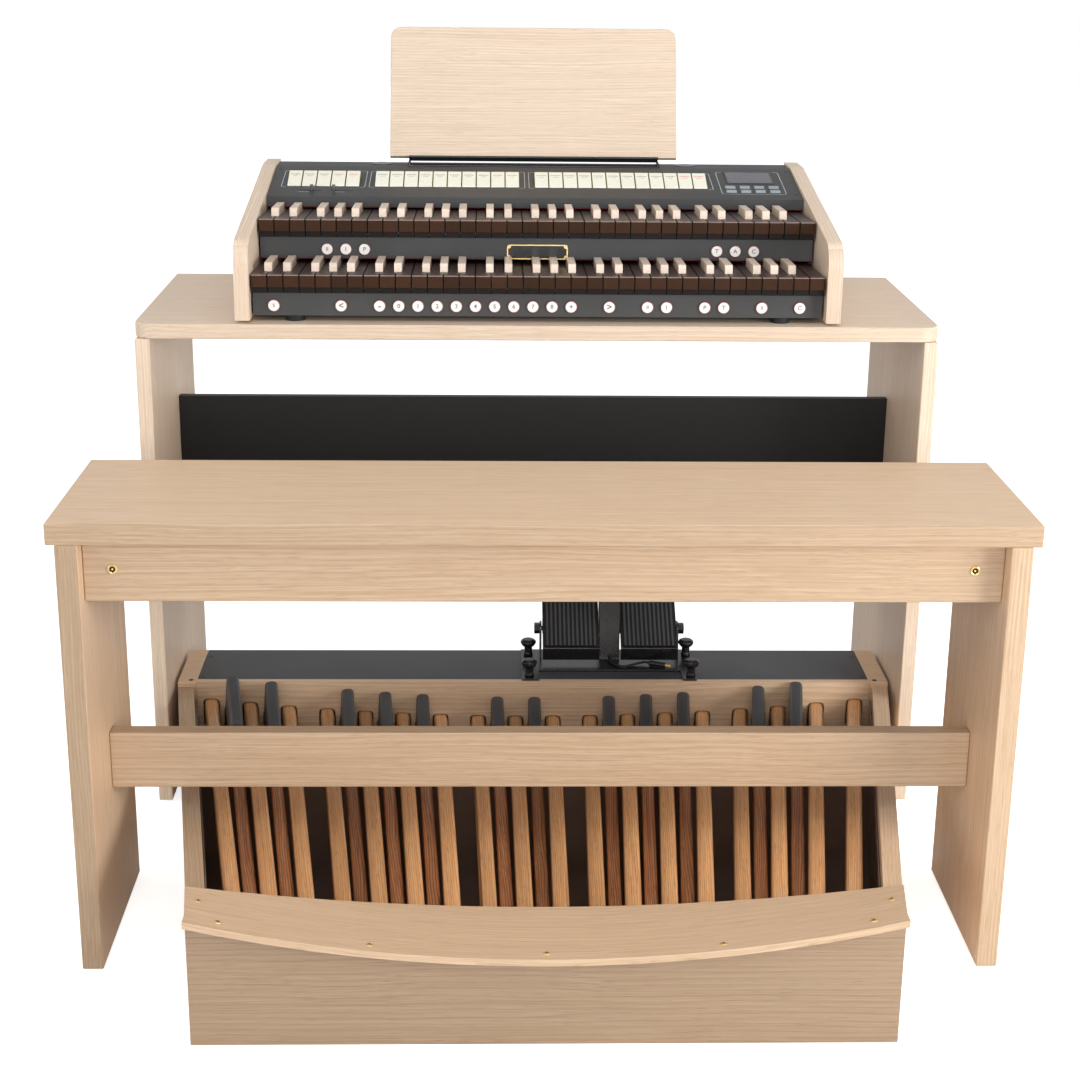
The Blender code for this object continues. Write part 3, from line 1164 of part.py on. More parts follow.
def build_toe_box():
    inner = TOE_BOX_WIDTH / 2 - TOE_BOX_SIDE
    face, board_back = TOE_BOARD_FRONT, TOE_BOARD_FRONT + TOE_BOARD_THICKNESS
    board = box_mesh((-inner + GAP, face, 0), (inner - GAP, board_back, TOE_BOX_HEIGHT))
    toe_board = add_part("toe_board", board, OAK)
    slots = []
    for place, sharp in pedal_stations():
        width, height, _ = pedal_section(sharp)
        toe, _ = pedal_line(place, sharp)
        angle = place * PEDAL_STEP
        x = (TOE_BOARD_FRONT - RADIAL_CENTRE) * math.tan(angle)
        half = width / 2 + SLOT_SIDE_CLEARANCE
        low, high = toe - height - PEDAL_DIP - 6 * GAP, toe + SLOT_TOP_CLEARANCE
        section = rounded([(-half, low, 0), (half, low, 0), (half, high, PEDAL_ROUND),
                           (-half, high, PEDAL_ROUND)])
        slot = outline_mesh(section, -TOE_BOARD_THICKNESS, 2 * TOE_BOARD_THICKNESS, "Y")
        slots.append(placed(slot, Matrix.Translation((x, face, 0)) @ Matrix.Rotation(-angle, 4, "Z")))
    shape_with(toe_board, joined(slots))
    outer, back = TOE_BOX_WIDTH / 2, TOE_BOX_BACK
    rest = TOE_BOX_HEIGHT - TOE_PLATE_THICKNESS - GAP
    case = add_part("toe_box_case", box_mesh((-outer, face + GAP, 0), (-inner, back, TOE_BOX_HEIGHT)), OAK)
    lap = TOE_BOX_SIDE / 2
    rear = box_mesh((-inner - lap, back - TOE_BOX_BACK_THICKNESS, 0), (inner + lap, back, rest))
    shape_with(case, rear, "UNION")
    shape_with(case, box_mesh((inner, face + GAP, 0), (outer, back, TOE_BOX_HEIGHT)), "UNION")
    plate = box_mesh((-inner + GAP, board_back + GAP, TOE_PLATE_TOP - TOE_PLATE_THICKNESS),
                     (inner - GAP, back, TOE_PLATE_TOP))
    add_part("toe_box_plate", plate, GREY_PLATE)


# Expression pedals

def treadle_frame(centre):
    """A treadle's frame: X across, Y up its slope, Z off its face, origin on the pivot."""
    return Matrix.Translation((centre, *TREADLE_PIVOT)) @ Matrix.Rotation(TREADLE_SLOPE, 4, "X")


def build_treadle(side, centre):
    frame = treadle_frame(centre)
    half = TREADLE_WIDTH / 2
    front, back = -TREADLE_FRONT_FROM_PIVOT, TREADLE_LENGTH - TREADLE_FRONT_FROM_PIVOT
    face = TREADLE_TOP_ABOVE_PIVOT
    under = face - TREADLE_THICKNESS
    lean = math.tan(TREADLE_SLOPE)
    lip, lip_back = face - TREADLE_LIP, front + TREADLE_LIP_THICKNESS
    shift = TREADLE_LIP * lean / 2
    outline = [(front, face), (front - shift, lip), (lip_back - shift, lip), (lip_back, under),
               (back, under), (back, face)]
    treadle = placed(outline_mesh(outline, -half, half, "X"), frame)
    part = add_part("treadle_" + side, treadle, BLACK_PLASTIC, pivot=(centre, *TREADLE_PIVOT))
    lug = TREADLE_LUG_RADIUS
    for edge in (-half, half - TREADLE_LUG_THICKNESS):
        outline = rounded([(-lug, -lug, lug), (lug, -lug, lug), (2 * lug, under + GAP * 2, 0),
                           (-lug, under + GAP * 2, 0)])
        tab = outline_mesh(outline, edge, edge + TREADLE_LUG_THICKNESS, "X")
        shape_with(part, placed(tab, frame), "UNION")
    bore = rod_mesh((-TREADLE_WIDTH, 0, 0), 2 * TREADLE_WIDTH, PIVOT_ROD_RADIUS + ROD_CLEARANCE, "X")
    shape_with(part, placed(bore, frame))
    build_pad(side, centre, frame, front, back, face)


def build_pad(side, centre, frame, front, back, face):
    """The rubber mat, ribbed along the treadle."""
    reach = TREADLE_WIDTH / 2 - PAD_MARGIN
    base, crest = face + GAP + PAD_THICKNESS - PAD_RIB_HEIGHT, face + GAP + PAD_THICKNESS
    pitch = 2 * reach / PAD_RIBS
    section = [(-reach, face + GAP), (reach, face + GAP)]
    for n in reversed(range(PAD_RIBS)):
        left = -reach + n * pitch
        section += [(left + pitch, base), (left + 0.75 * pitch, crest), (left + 0.25 * pitch, crest)]
    section.append((-reach, base))
    pad = outline_mesh(section, front + PAD_MARGIN, back - PAD_MARGIN, "Y")
    add_part("treadle_pad_" + side, placed(pad, frame), RUBBER, pivot=(centre, *TREADLE_PIVOT))


def build_expression_bracket():
    """Base plate, two side uprights, a housing between the treadles and the pivot rod through all."""
    pivot_y, pivot_z = TREADLE_PIVOT
    base = box_mesh((BASE_LEFT, BASE_FRONT, BASE_BOTTOM), (BASE_RIGHT, BASE_BACK, BASE_TOP))
    bracket = add_part("expression_bracket", base, BLACK_PLASTIC)
    notch_back = BASE_FRONT + BASE_NOTCH_DEPTH
    shape_with(bracket, box_mesh((BASE_LEFT + BASE_TAB_LEFT, BASE_FRONT - GAP, 0),
                                 (BASE_RIGHT - BASE_TAB_RIGHT, notch_back, 2 * BASE_TOP)))
    half = TREADLE_WIDTH / 2
    clear = 2 * GAP + UPRIGHT_THICKNESS / 4
    left = TREADLE_LEFT_CENTRE - half - clear
    right = TREADLE_RIGHT_CENTRE + half + clear
    middle = (TREADLE_LEFT_CENTRE + TREADLE_RIGHT_CENTRE) / 2
    rise = TREADLE_LUG_RADIUS
    housing_left = TREADLE_LEFT_CENTRE + half + HOUSING_CLEARANCE
    housing_right = TREADLE_RIGHT_CENTRE - half - HOUSING_CLEARANCE
    walls = [(left - UPRIGHT_THICKNESS, left, UPRIGHT_LENGTH, rise),
             (right, right + UPRIGHT_THICKNESS, UPRIGHT_LENGTH, rise),
             (housing_left, housing_right, HOUSING_LENGTH, HOUSING_RISE)]
    for low, high, length, top in walls:
        foot = pivot_y - length / 2
        back = min(pivot_y + length / 2, BASE_BACK)
        outline = rounded([(foot, BASE_TOP - BASE_THICKNESS / 2, 0), (back, BASE_TOP - BASE_THICKNESS / 2, 0),
                           (back, pivot_z + top, rise), (pivot_y - rise, pivot_z + top, rise)])
        shape_with(bracket, outline_mesh(outline, low, high, "X"), "UNION")
    ear = EAR_LENGTH
    lap = UPRIGHT_THICKNESS / 3
    reach = UPRIGHT_THICKNESS + ear / 2
    rod = rod_mesh((left - reach, pivot_y, pivot_z), right - left + 2 * reach, PIVOT_ROD_RADIUS, "X")
    shape_with(bracket, rod, "UNION")
    for x in (left - UPRIGHT_THICKNESS - ear, right + UPRIGHT_THICKNESS - lap):
        nut = rod_mesh((x, pivot_y, pivot_z), ear + lap, EAR_RADIUS, "X", sides=6)
        shape_with(bracket, nut, "UNION")
    return middle


def build_knobs():
    """Four clamp knobs: a mushroom head on a collared stem."""
    head, neck, collar = KNOB_RADIUS, KNOB_RADIUS / 2, 0.6 * KNOB_RADIUS
    top = KNOB_HEIGHT
    profile = [(0.0, top), (0.68 * head, 0.98 * top), (0.97 * head, 0.88 * top), (head, 0.76 * top),
               (0.78 * head, 0.60 * top), (neck, 0.52 * top), (neck, 0.18 * top), (collar, 0.14 * top),
               (collar, 0), (0.0, 0)]
    for name, (x, y) in KNOB_STATIONS.items():
        knob = placed(turned_mesh(profile, ROUND_SIDES), Matrix.Translation((x, y, BASE_TOP + GAP)))
        smooth_rounds(add_part("clamp_knob_" + name, knob, BLACK_PLASTIC))


def smooth_route(points, per_span=5):
    """A Catmull-Rom curve through the points of a lead."""
    ends = [2 * points[0] - points[1], *points, 2 * points[-1] - points[-2]]
    route = []
    for n in range(len(points) - 1):
        a, b, c, d = ends[n:n + 4]
        for step in range(per_span):
            t = step / per_span
            route.append(0.5 * (2 * b + (c - a) * t + (2 * a - 5 * b + 4 * c - d) * t ** 2
                                + (3 * b - a - 3 * c + d) * t ** 3))
    return route + [points[-1]]


def build_lead(middle):
    """The signal lead, which leaves the housing and ends in a jack plug lying on the base."""
    lie = BASE_TOP + GAP + LEAD_RADIUS
    plug_z = BASE_TOP + GAP + PLUG_RADIUS
    lay = Matrix.Translation((PLUG_LEFT, PLUG_FRONT, plug_z)) @ Matrix.Rotation(PLUG_TURN, 4, "Z")
    start = TREADLE_PIVOT[0] - HOUSING_LENGTH / 2 - GAP
    tail, run_in = lay @ Vector((-GAP, 0, 0)), lay @ Vector((-PLUG_RADIUS * 2, 0, 0))
    points = [Vector((middle, start, lie + LEAD_RADIUS)), Vector((middle, start - 0.010, lie + LEAD_RADIUS)),
              Vector((middle + 0.005, PLUG_FRONT + 0.002, lie)),
              Vector((middle + 0.020, PLUG_FRONT - 0.010, lie)),
              Vector((middle + 0.036, PLUG_FRONT - 0.002, lie)), run_in, tail]
    add_part("signal_lead", tube_mesh(smooth_route(points, per_span=4), LEAD_RADIUS), RUBBER)
    body = rod_mesh((0, 0, 0), PLUG_LENGTH, PLUG_RADIUS, "X")
    plug = add_part("jack_plug", placed(body, lay), BLACK_PLASTIC)
    tip = rod_mesh((PLUG_LENGTH / 2, 0, 0), PLUG_LENGTH / 2 + PLUG_TIP_LENGTH, PLUG_TIP_RADIUS, "X")
    shape_with(plug, placed(tip, lay), "UNION")


build_stand()
build_bench()
build_cheeks()
REAR_PANEL_FACE = build_case()
build_rails()
build_manual("lower")
build_manual("upper")
build_key_frame("key_frame_lower", LOWER_FRONT, LOWER_TOP, TRAY_TOP + GAP)
build_key_frame("key_frame_upper", UPPER_FRONT, UPPER_TOP, UPPER_TOP - FRAME_BELOW_KEYS)
build_control_panel()
build_tabs()
build_sliders()
build_display()
build_electronics(REAR_PANEL_FACE)
build_desk()
build_heel()
build_side_rails()
build_floor_panel()
build_pedals()
build_heel_rail()
build_toe_box()
build_treadle("left", TREADLE_LEFT_CENTRE)
build_treadle("right", TREADLE_RIGHT_CENTRE)
HOUSING_CENTRE = build_expression_bracket()
build_knobs()
build_lead(HOUSING_CENTRE)
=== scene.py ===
"""Looks for the portable organ: its keys, tabs, pistons, oak boards, pedals and the studio round them."""

import math

import bmesh
import bpy
from mathutils import Matrix, Vector


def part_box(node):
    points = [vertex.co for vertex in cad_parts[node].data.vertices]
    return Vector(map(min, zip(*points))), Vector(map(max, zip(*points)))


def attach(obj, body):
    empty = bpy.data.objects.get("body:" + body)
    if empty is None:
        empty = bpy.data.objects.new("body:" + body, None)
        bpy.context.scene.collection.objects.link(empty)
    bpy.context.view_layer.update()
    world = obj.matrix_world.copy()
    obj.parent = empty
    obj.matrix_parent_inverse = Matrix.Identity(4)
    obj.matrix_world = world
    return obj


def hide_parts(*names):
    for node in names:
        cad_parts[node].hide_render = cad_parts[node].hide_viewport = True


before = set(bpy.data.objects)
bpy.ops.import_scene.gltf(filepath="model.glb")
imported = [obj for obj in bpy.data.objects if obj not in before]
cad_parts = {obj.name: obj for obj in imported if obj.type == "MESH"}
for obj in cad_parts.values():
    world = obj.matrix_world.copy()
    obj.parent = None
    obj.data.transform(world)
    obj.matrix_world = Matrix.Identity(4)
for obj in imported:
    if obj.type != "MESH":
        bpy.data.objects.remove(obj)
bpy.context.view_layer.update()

STATIC = "frame"
LEGS = ("stand_leg_left", "stand_leg_right", "bench_leg_left", "bench_leg_right")

# Sizes and places shared with the solids, in metres
STAND_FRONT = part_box("stand_top")[0].y
KEY_PITCH = 0.0235
KEY_COUNT = 36

# The control panel's fittings, measured up its slope from its front edge
PANEL_FACE_HEIGHT = 0.0155
PANEL_SLOPE = math.atan2(0.028, 0.163)
PANEL_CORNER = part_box("control_panel")[0] + Vector((0, 0, PANEL_FACE_HEIGHT))
PANEL = Matrix.Translation((0, PANEL_CORNER.y, PANEL_CORNER.z)) @ Matrix.Rotation(PANEL_SLOPE, 4, "X")
TAB_PITCH = 0.0233
TAB_GROUPS = {"left": (5, -0.3985), "middle": (10, -0.2583), "right": (12, -0.0015)}
TAB_FRONT = 0.056
TAB_CREASE_FROM_FRONT = 0.017
TAB_CREASE_RISE = 0.0045
TAB_FACET_SLOPE = math.atan2(0.0060, 0.0330)
SCREEN_CENTRE = 0.3503
SCREEN_WIDTH = 0.0762
SCREEN_LENGTH = 0.0635
SCREEN_FRONT = 0.0835
SLIDER_UP_SLOPE = 0.0320
SLIDER_CENTRES = (-0.3600, -0.3080)
SLIDER_HALF_SLOT = 0.0195
SLIDER_SCALES = ((-0.3690, 0.0085), (-0.3140, 0.0095))
PANEL_SCREW_HALF_SPACING = 0.4165
RECESS_HALF_SPACING = 0.2545
RECESS_FROM_BACK = 0.0215
PANEL_SHEET_DROP = 0.0012

# Thumb pistons, in steps of one pitch from the first numbered piston
PISTON_PITCH = 0.02838
PISTON_ORIGIN = -0.2357
PISTON_RADIUS = 0.0090
LOWER_MARKS = {-5.5: "S", -2: "<", 0: "-", 1: "0", 2: "1", 3: "2", 4: "3", 5: "4", 6: "5", 7: "6", 8: "7",
               9: "8", 10: "+", 12: ">", 14: "II", 15: "I", 17: "P", 18: "T", 20: "II", 22: "C"}
MIDDLE_MARKS = {-3: "II", -2: "I", -1: "P", 18: "T", 19: "A", 20: "C"}
MARK_SIZES = {"<": 0.0135, ">": 0.0135, "-": 0.0135, "+": 0.0105, "S": 0.0075}
LETTER_SIZE = 0.0086
PAIR_SIZE = 0.0076

# Rear sockets
SOCKET_COUNT = 6
SOCKET_LEFT = -0.210
SOCKET_PITCH = 0.030
INLET_SIDES = (0.217, 0.251)

# Pedalboard, measured from the stand's front edge; its pedals fan out from a point far in front
FAN_CENTRE = STAND_FRONT - 2.850
FAN_STEP = math.radians(1.18)
FAN_HALF_STEPS = 8.5
TOE_BOARD_FRONT = 0.065
SHARP_TOE_TOP = 0.1113
PEDAL_TOE_CURVE = 0.029
PEDAL_FALL = 0.014
PEDAL_CURVE_GROWTH = 0.017
PEDAL_RUN = 0.655
CAP_START = -0.097
HEEL_CAP_TOP = 0.130
HEEL_CAP_ARC_RADIUS = 1.895
RAIL_OUTER_TOE = 0.568
RAIL_THICKNESS = 0.025
RAIL_FLARE = 0.1660

# Expression pedals
TREADLE_SLOPE = math.radians(34.0)
PLUG_START = Vector((0.1887, STAND_FRONT + 0.1291, 0))
PLUG_TURN = math.radians(25)
PLUG_BARREL = 0.0282


# Shader nodes

def put_node(tree, kind, settings=None, **inputs):
    """A node with its settings, whose sockets hold values or take links."""
    made = tree.nodes.new(kind)
    for name, value in (settings or {}).items():
        setattr(made, name, value)
    for name, value in inputs.items():
        feed(tree, made.inputs[name.replace("_", " ")], value)
    return made


def feed(tree, socket, value):
    if isinstance(value, bpy.types.NodeSocket):
        tree.links.new(value, socket)
    else:
        socket.default_value = value


def maths(tree, operation, first, second=0.0):
    made = put_node(tree, "ShaderNodeMath", {"operation": operation})
    feed(tree, made.inputs[0], first)
    feed(tree, made.inputs[1], second)
    return made.outputs[0]


def stretched(tree, vector, amounts):
    made = put_node(tree, "ShaderNodeVectorMath", {"operation": "MULTIPLY"})
    feed(tree, made.inputs[0], vector)
    feed(tree, made.inputs[1], amounts)
    return made.outputs[0]


def blend_colours(tree, share, first, second):
    made = put_node(tree, "ShaderNodeMix", {"data_type": "RGBA"})
    feed(tree, made.inputs[0], share)
    feed(tree, made.inputs[6], first)
    feed(tree, made.inputs[7], second)
    return made.outputs[2]


def spread(tree, value, low, high, to_low=0.0, to_high=1.0):
    """A value carried from one range to another and held between its ends."""
    made = put_node(tree, "ShaderNodeMapRange", {"clamp": True}, Value=value, From_Min=low, From_Max=high,
                    To_Min=to_low, To_Max=to_high)
    return made.outputs[0]


def new_group(name, inputs, outputs):
    group = bpy.data.node_groups.new(name, "ShaderNodeTree")
    for socket, kind in inputs.items():
        group.interface.new_socket(name=socket, in_out="INPUT", socket_type=kind)
    for socket, kind in outputs.items():
        group.interface.new_socket(name=socket, in_out="OUTPUT", socket_type=kind)
    return group, group.nodes.new("NodeGroupInput"), group.nodes.new("NodeGroupOutput")


def build_long_grain():
    """Straight wood grain along a vector's first axis: streaks, growth rings and short pores."""
    group, given, made = new_group(
        "long_grain", {"Grain": "NodeSocketVector", "Line Density": "NodeSocketFloat",
                       "Ring Density": "NodeSocketFloat", "Sway": "NodeSocketFloat"},
        {"Streaks": "NodeSocketFloat", "Rings": "NodeSocketFloat", "Pores": "NodeSocketFloat"})
    grain = given.outputs["Grain"]
    drift = put_node(group, "ShaderNodeTexNoise", Vector=stretched(group, grain, (2.2, 9.0, 9.0)),
                     Scale=1.0, Detail=2.0)
    push = put_node(group, "ShaderNodeCombineXYZ", Y=given.outputs["Sway"], Z=given.outputs["Sway"])
    shift = put_node(group, "ShaderNodeVectorMath", {"operation": "MULTIPLY_ADD"})
    feed(group, shift.inputs[0], drift.outputs["Color"])
    feed(group, shift.inputs[1], push.outputs[0])
    feed(group, shift.inputs[2], grain)
    lines = put_node(group, "ShaderNodeCombineXYZ", X=1.7, Y=given.outputs["Line Density"],
                     Z=given.outputs["Line Density"])
    streaks = put_node(group, "ShaderNodeTexNoise",
                       Vector=stretched(group, shift.outputs[0], lines.outputs[0]), Scale=1.0,
                       Detail=4.0, Roughness=0.6)
    growth = put_node(group, "ShaderNodeCombineXYZ", X=0.5, Y=given.outputs["Ring Density"],
                      Z=given.outputs["Ring Density"])
    rings = put_node(group, "ShaderNodeTexWave",
                     {"wave_type": "RINGS", "rings_direction": "X", "wave_profile": "SAW"},
                     Vector=stretched(group, shift.outputs[0], growth.outputs[0]), Scale=1.0,
                     Distortion=1.3, Detail=2.0, Detail_Scale=1.2)
    pores = put_node(group, "ShaderNodeTexNoise",
                     Vector=stretched(group, shift.outputs[0], (30.0, 1300.0, 1300.0)), Scale=1.0, Detail=1.0)
    group.links.new(streaks.outputs["Fac"], made.inputs["Streaks"])
    group.links.new(rings.outputs["Fac"], made.inputs["Rings"])
    group.links.new(spread(group, pores.outputs["Fac"], 0.58, 0.72), made.inputs["Pores"])
    return group


def build_fine_pebble():
    """A fine moulded or powder-coated texture in object space, with a broad uneven tone."""
    group, given, made = new_group("fine_pebble", {"Size": "NodeSocketFloat"},
                                   {"Pebble": "NodeSocketFloat", "Tone": "NodeSocketFloat"})
    place = put_node(group, "ShaderNodeTexCoord").outputs["Object"]
    pebble = put_node(group, "ShaderNodeTexNoise", Vector=place, Scale=given.outputs["Size"], Detail=2.0)
    tone = put_node(group, "ShaderNodeTexNoise", Vector=place, Scale=9.0, Detail=3.0)
    group.links.new(pebble.outputs["Fac"], made.inputs["Pebble"])
    group.links.new(tone.outputs["Fac"], made.inputs["Tone"])
    return group


LONG_GRAIN = build_long_grain()
FINE_PEBBLE = build_fine_pebble()
# Full darkening by the tone attribute: random tone on keys and pedals, painted shade on the oak boards.
FULL_TONE_AND_SHADE = (0.36, 0.34, 0.31)


def new_material(name, roughness=0.5, metallic=0.0, coat=0.0, gloss=0.5):
    material = bpy.data.materials.new(name)
    material.use_nodes = True
    shader = material.node_tree.nodes["Principled BSDF"]
    shader.inputs["Roughness"].default_value = roughness
    shader.inputs["Metallic"].default_value = metallic
    shader.inputs["Coat Weight"].default_value = coat
    shader.inputs["Coat Roughness"].default_value = 0.15
    shader.inputs["Specular IOR Level"].default_value = gloss
    return material, material.node_tree, shader


def bumped(tree, shader, height, distance, strength=1.0):
    bump = put_node(tree, "ShaderNodeBump", Height=height, Strength=strength, Distance=distance)
    tree.links.new(bump.outputs["Normal"], shader.inputs["Normal"])


def wood(name, pale, mid, dark, density=230.0, rings=60.0, sway=0.02, ring=0.35, pore=0.5, roughness=0.42,
         coat=0.0, tone=0.0, gloss=0.5):
    """A wood in three colours, whose grain follows the piece's own grain attribute.

    Ring and pore say how far the growth rings and the pores darken it, and tone how far the
    piece's own tone attribute does: a random tone for each key or pedal stick, and a painted
    shade for each oak board.
    """
    material, tree, shader = new_material(name, roughness, coat=coat, gloss=gloss)
    grain = put_node(tree, "ShaderNodeAttribute", {"attribute_name": "grain"})
    pattern = put_node(tree, "ShaderNodeGroup", {"node_tree": LONG_GRAIN}, Grain=grain.outputs["Vector"],
                       Line_Density=density, Ring_Density=rings, Sway=sway)
    streaks = spread(tree, pattern.outputs["Streaks"], 0.36, 0.64)
    colour = blend_colours(tree, streaks, (*pale, 1), (*mid, 1))
    late = spread(tree, pattern.outputs["Rings"], 0.45, 0.95, 0.0, ring)
    colour = blend_colours(tree, late, colour, (*dark, 1))
    colour = blend_colours(tree, maths(tree, "MULTIPLY", pattern.outputs["Pores"], pore), colour, (*dark, 1))
    if tone:
        own = put_node(tree, "ShaderNodeAttribute", {"attribute_name": "tone"})
        share = maths(tree, "MULTIPLY", own.outputs["Fac"], tone)
        colour = blend_colours(tree, share, colour, stretched(tree, colour, FULL_TONE_AND_SHADE))
    tree.links.new(colour, shader.inputs["Base Color"])
    rough = spread(tree, pattern.outputs["Streaks"], 0.2, 0.8, roughness - 0.05, roughness + 0.07)
    tree.links.new(rough, shader.inputs["Roughness"])
    height = maths(tree, "SUBTRACT", pattern.outputs["Streaks"], pattern.outputs["Pores"])
    bumped(tree, shader, height, 0.00010, 0.5)
    return material


def coated(name, colour, roughness, pebble=1400.0, depth=0.00006, metallic=0.0, uneven=0.14, coat=0.0,
           gloss=0.5):
    """Paint, plastic, rubber or metal with a fine texture and a slightly uneven tone."""
    material, tree, shader = new_material(name, roughness, metallic, coat, gloss)
    texture = put_node(tree, "ShaderNodeGroup", {"node_tree": FINE_PEBBLE}, Size=pebble)
    darker = tuple(channel * (1 - uneven) for channel in colour)
    brighter = tuple(min(1.0, channel * (1 + uneven)) for channel in colour)
    tone = spread(tree, texture.outputs["Tone"], 0.3, 0.7)
    tree.links.new(blend_colours(tree, tone, (*darker, 1), (*brighter, 1)), shader.inputs["Base Color"])
    rough = spread(tree, texture.outputs["Pebble"], 0.3, 0.7, roughness - 0.05, roughness + 0.08)
    tree.links.new(rough, shader.inputs["Roughness"])
    bumped(tree, shader, texture.outputs["Pebble"], depth)
    return material


def woven_laminate():
    """Black laminate with a faint linen weave."""
    material, tree, shader = new_material("black_linen_laminate", 0.42, gloss=0.28)
    place = put_node(tree, "ShaderNodeTexCoord").outputs["Object"]
    threads = []
    for direction in ("X", "Z"):
        wave = put_node(tree, "ShaderNodeTexWave", {"bands_direction": direction}, Vector=place,
                        Scale=160.0, Distortion=1.2, Detail=1.0)
        threads.append(wave.outputs["Fac"])
    weave = maths(tree, "MULTIPLY", *threads)
    tone = blend_colours(tree, weave, (0.0045, 0.0045, 0.0045, 1), (0.0095, 0.0095, 0.0092, 1))
    tree.links.new(tone, shader.inputs["Base Color"])
    bumped(tree, shader, weave, 0.0001, 0.6)
    return material


def felt():
    """Red felt with a soft nap."""
    material, tree, shader = new_material("red_felt", 0.95)
    shader.inputs["Sheen Weight"].default_value = 0.5
    place = put_node(tree, "ShaderNodeTexCoord").outputs["Object"]
    nap = put_node(tree, "ShaderNodeTexNoise", Vector=place, Scale=1800.0, Detail=3.0)
    colour = blend_colours(tree, nap.outputs["Fac"], (0.12, 0.006, 0.010, 1), (0.33, 0.018, 0.028, 1))
    tree.links.new(colour, shader.inputs["Base Color"])
    bumped(tree, shader, nap.outputs["Fac"], 0.0004)
    return material


# The oaks' tone attribute holds each board's painted shade.
OAK = wood("oak_laminate", (0.755, 0.555, 0.380), (0.635, 0.435, 0.272), (0.38, 0.245, 0.15), density=600.0,
           rings=74.0, sway=0.018, ring=0.24, pore=0.45, roughness=0.40, tone=1.0)
# A paler, more neutral copy of the oak: painted light for the boards that the light falls on most.
LIT_OAK = wood("lit_oak_laminate", (0.815, 0.665, 0.520), (0.700, 0.540, 0.400), (0.42, 0.30, 0.21),
                density=600.0, rings=74.0, sway=0.018, ring=0.22, pore=0.40, roughness=0.42, tone=1.0)
KEY_TOP = wood("key_wood_top", (0.095, 0.058, 0.050), (0.052, 0.029, 0.025), (0.014, 0.008, 0.007),
               density=900.0, rings=120.0, sway=0.004, ring=0.25, pore=0.75, tone=0.35, gloss=0.35)
KEY_FACE = wood("key_wood_face", (0.066, 0.030, 0.015), (0.038, 0.016, 0.008), (0.014, 0.006, 0.004),
                density=900.0, rings=120.0, sway=0.004, ring=0.25, roughness=0.50, tone=0.45, gloss=0.08)
# A lighter wood on the keys' rounded front edge: a painted highlight.
KEY_HIGHLIGHT = wood("key_wood_highlight", (0.30, 0.215, 0.18), (0.19, 0.130, 0.11), (0.06, 0.04, 0.03),
                density=700.0, rings=120.0, sway=0.004, ring=0.1, pore=0.3, roughness=0.35)
# Near black: painted shade on the keys' sides, in the gaps between keys; the lip under the fascia takes it
# too.
KEY_SIDE_SHADE = coated("key_side_shade", (0.008, 0.006, 0.005), 0.50, gloss=0.15)
MAPLE = wood("sharp_maple", (0.90, 0.76, 0.64), (0.76, 0.595, 0.475), (0.44, 0.29, 0.21), density=900.0,
             rings=200.0, sway=0.004, ring=0.15, pore=0.60, roughness=0.40, coat=0.05, tone=0.30, gloss=0.4)
PEDAL_WOOD = wood("pedal_cherry", (0.88, 0.490, 0.225), (0.70, 0.350, 0.145), (0.26, 0.095, 0.038),
                  density=420.0, rings=130.0, sway=0.010, ring=0.40, pore=0.60, roughness=0.32, coat=0.45,
                  tone=0.45, gloss=0.4)
PEDAL_DARK = wood("pedal_walnut", (0.66, 0.295, 0.125), (0.42, 0.160, 0.068), (0.080, 0.027, 0.015),
                  density=380.0, rings=110.0, sway=0.030, ring=0.75, pore=0.7, roughness=0.30, coat=0.45,
                  tone=0.60, gloss=0.4)
CHARCOAL = coated("charcoal_powder_coat", (0.043, 0.044, 0.045), 0.46, 1900.0, 0.00008, gloss=0.4)
SLATE = coated("slate_plate", (0.052, 0.053, 0.060), 0.42, 1100.0, 0.00004, gloss=0.4)
FLOOR_SHEET = coated("dark_brown_sheet", (0.190, 0.120, 0.086), 0.42, 30.0, 0.0, uneven=0.08, gloss=0.3)
LINER = coated("varnished_liner", (0.160, 0.110, 0.090), 0.20, 30.0, 0.0, uneven=0.10, coat=0.5)
BLACK_LINEN = woven_laminate()
IVORY = coated("ivory_tab", (0.86, 0.84, 0.72), 0.32, 300.0, 0.00001, uneven=0.02, coat=0.1, gloss=0.35)
# Dark olive for the tabs' sides: painted shade in the gaps between tabs.
IVORY_GAP_SHADE = coated("ivory_tab_gap_shade", (0.26, 0.21, 0.055), 0.40, 300.0, 0.00001, uneven=0.05)
PISTON_WHITE = coated("piston_white", (0.78, 0.755, 0.735), 0.30, 300.0, 0.00001, uneven=0.02, coat=0.1)
PISTON_RIM = coated("piston_rim", (0.36, 0.115, 0.115), 0.35, 300.0, 0.00001, uneven=0.04)
INK = coated("grey_ink", (0.085, 0.085, 0.088), 0.5, 300.0, 0.0)
PALE_INK = coated("pale_grey_ink", (0.27, 0.27, 0.26), 0.5, 300.0, 0.0)
RED_INK = coated("red_ink", (0.66, 0.17, 0.15), 0.5, 300.0, 0.0)
PRINT = coated("white_print", (0.46, 0.49, 0.50), 0.5, 300.0, 0.0, uneven=0.03)
BLACK = coated("black_plastic", (0.009, 0.009, 0.010), 0.26, 900.0, 0.00003, coat=0.15)
MATT_BLACK = coated("matt_black_cap", (0.060, 0.061, 0.067), 0.44, 1500.0, 0.00004)
RUBBER = coated("black_rubber", (0.010, 0.010, 0.011), 0.60, 700.0, 0.00005, gloss=0.3)
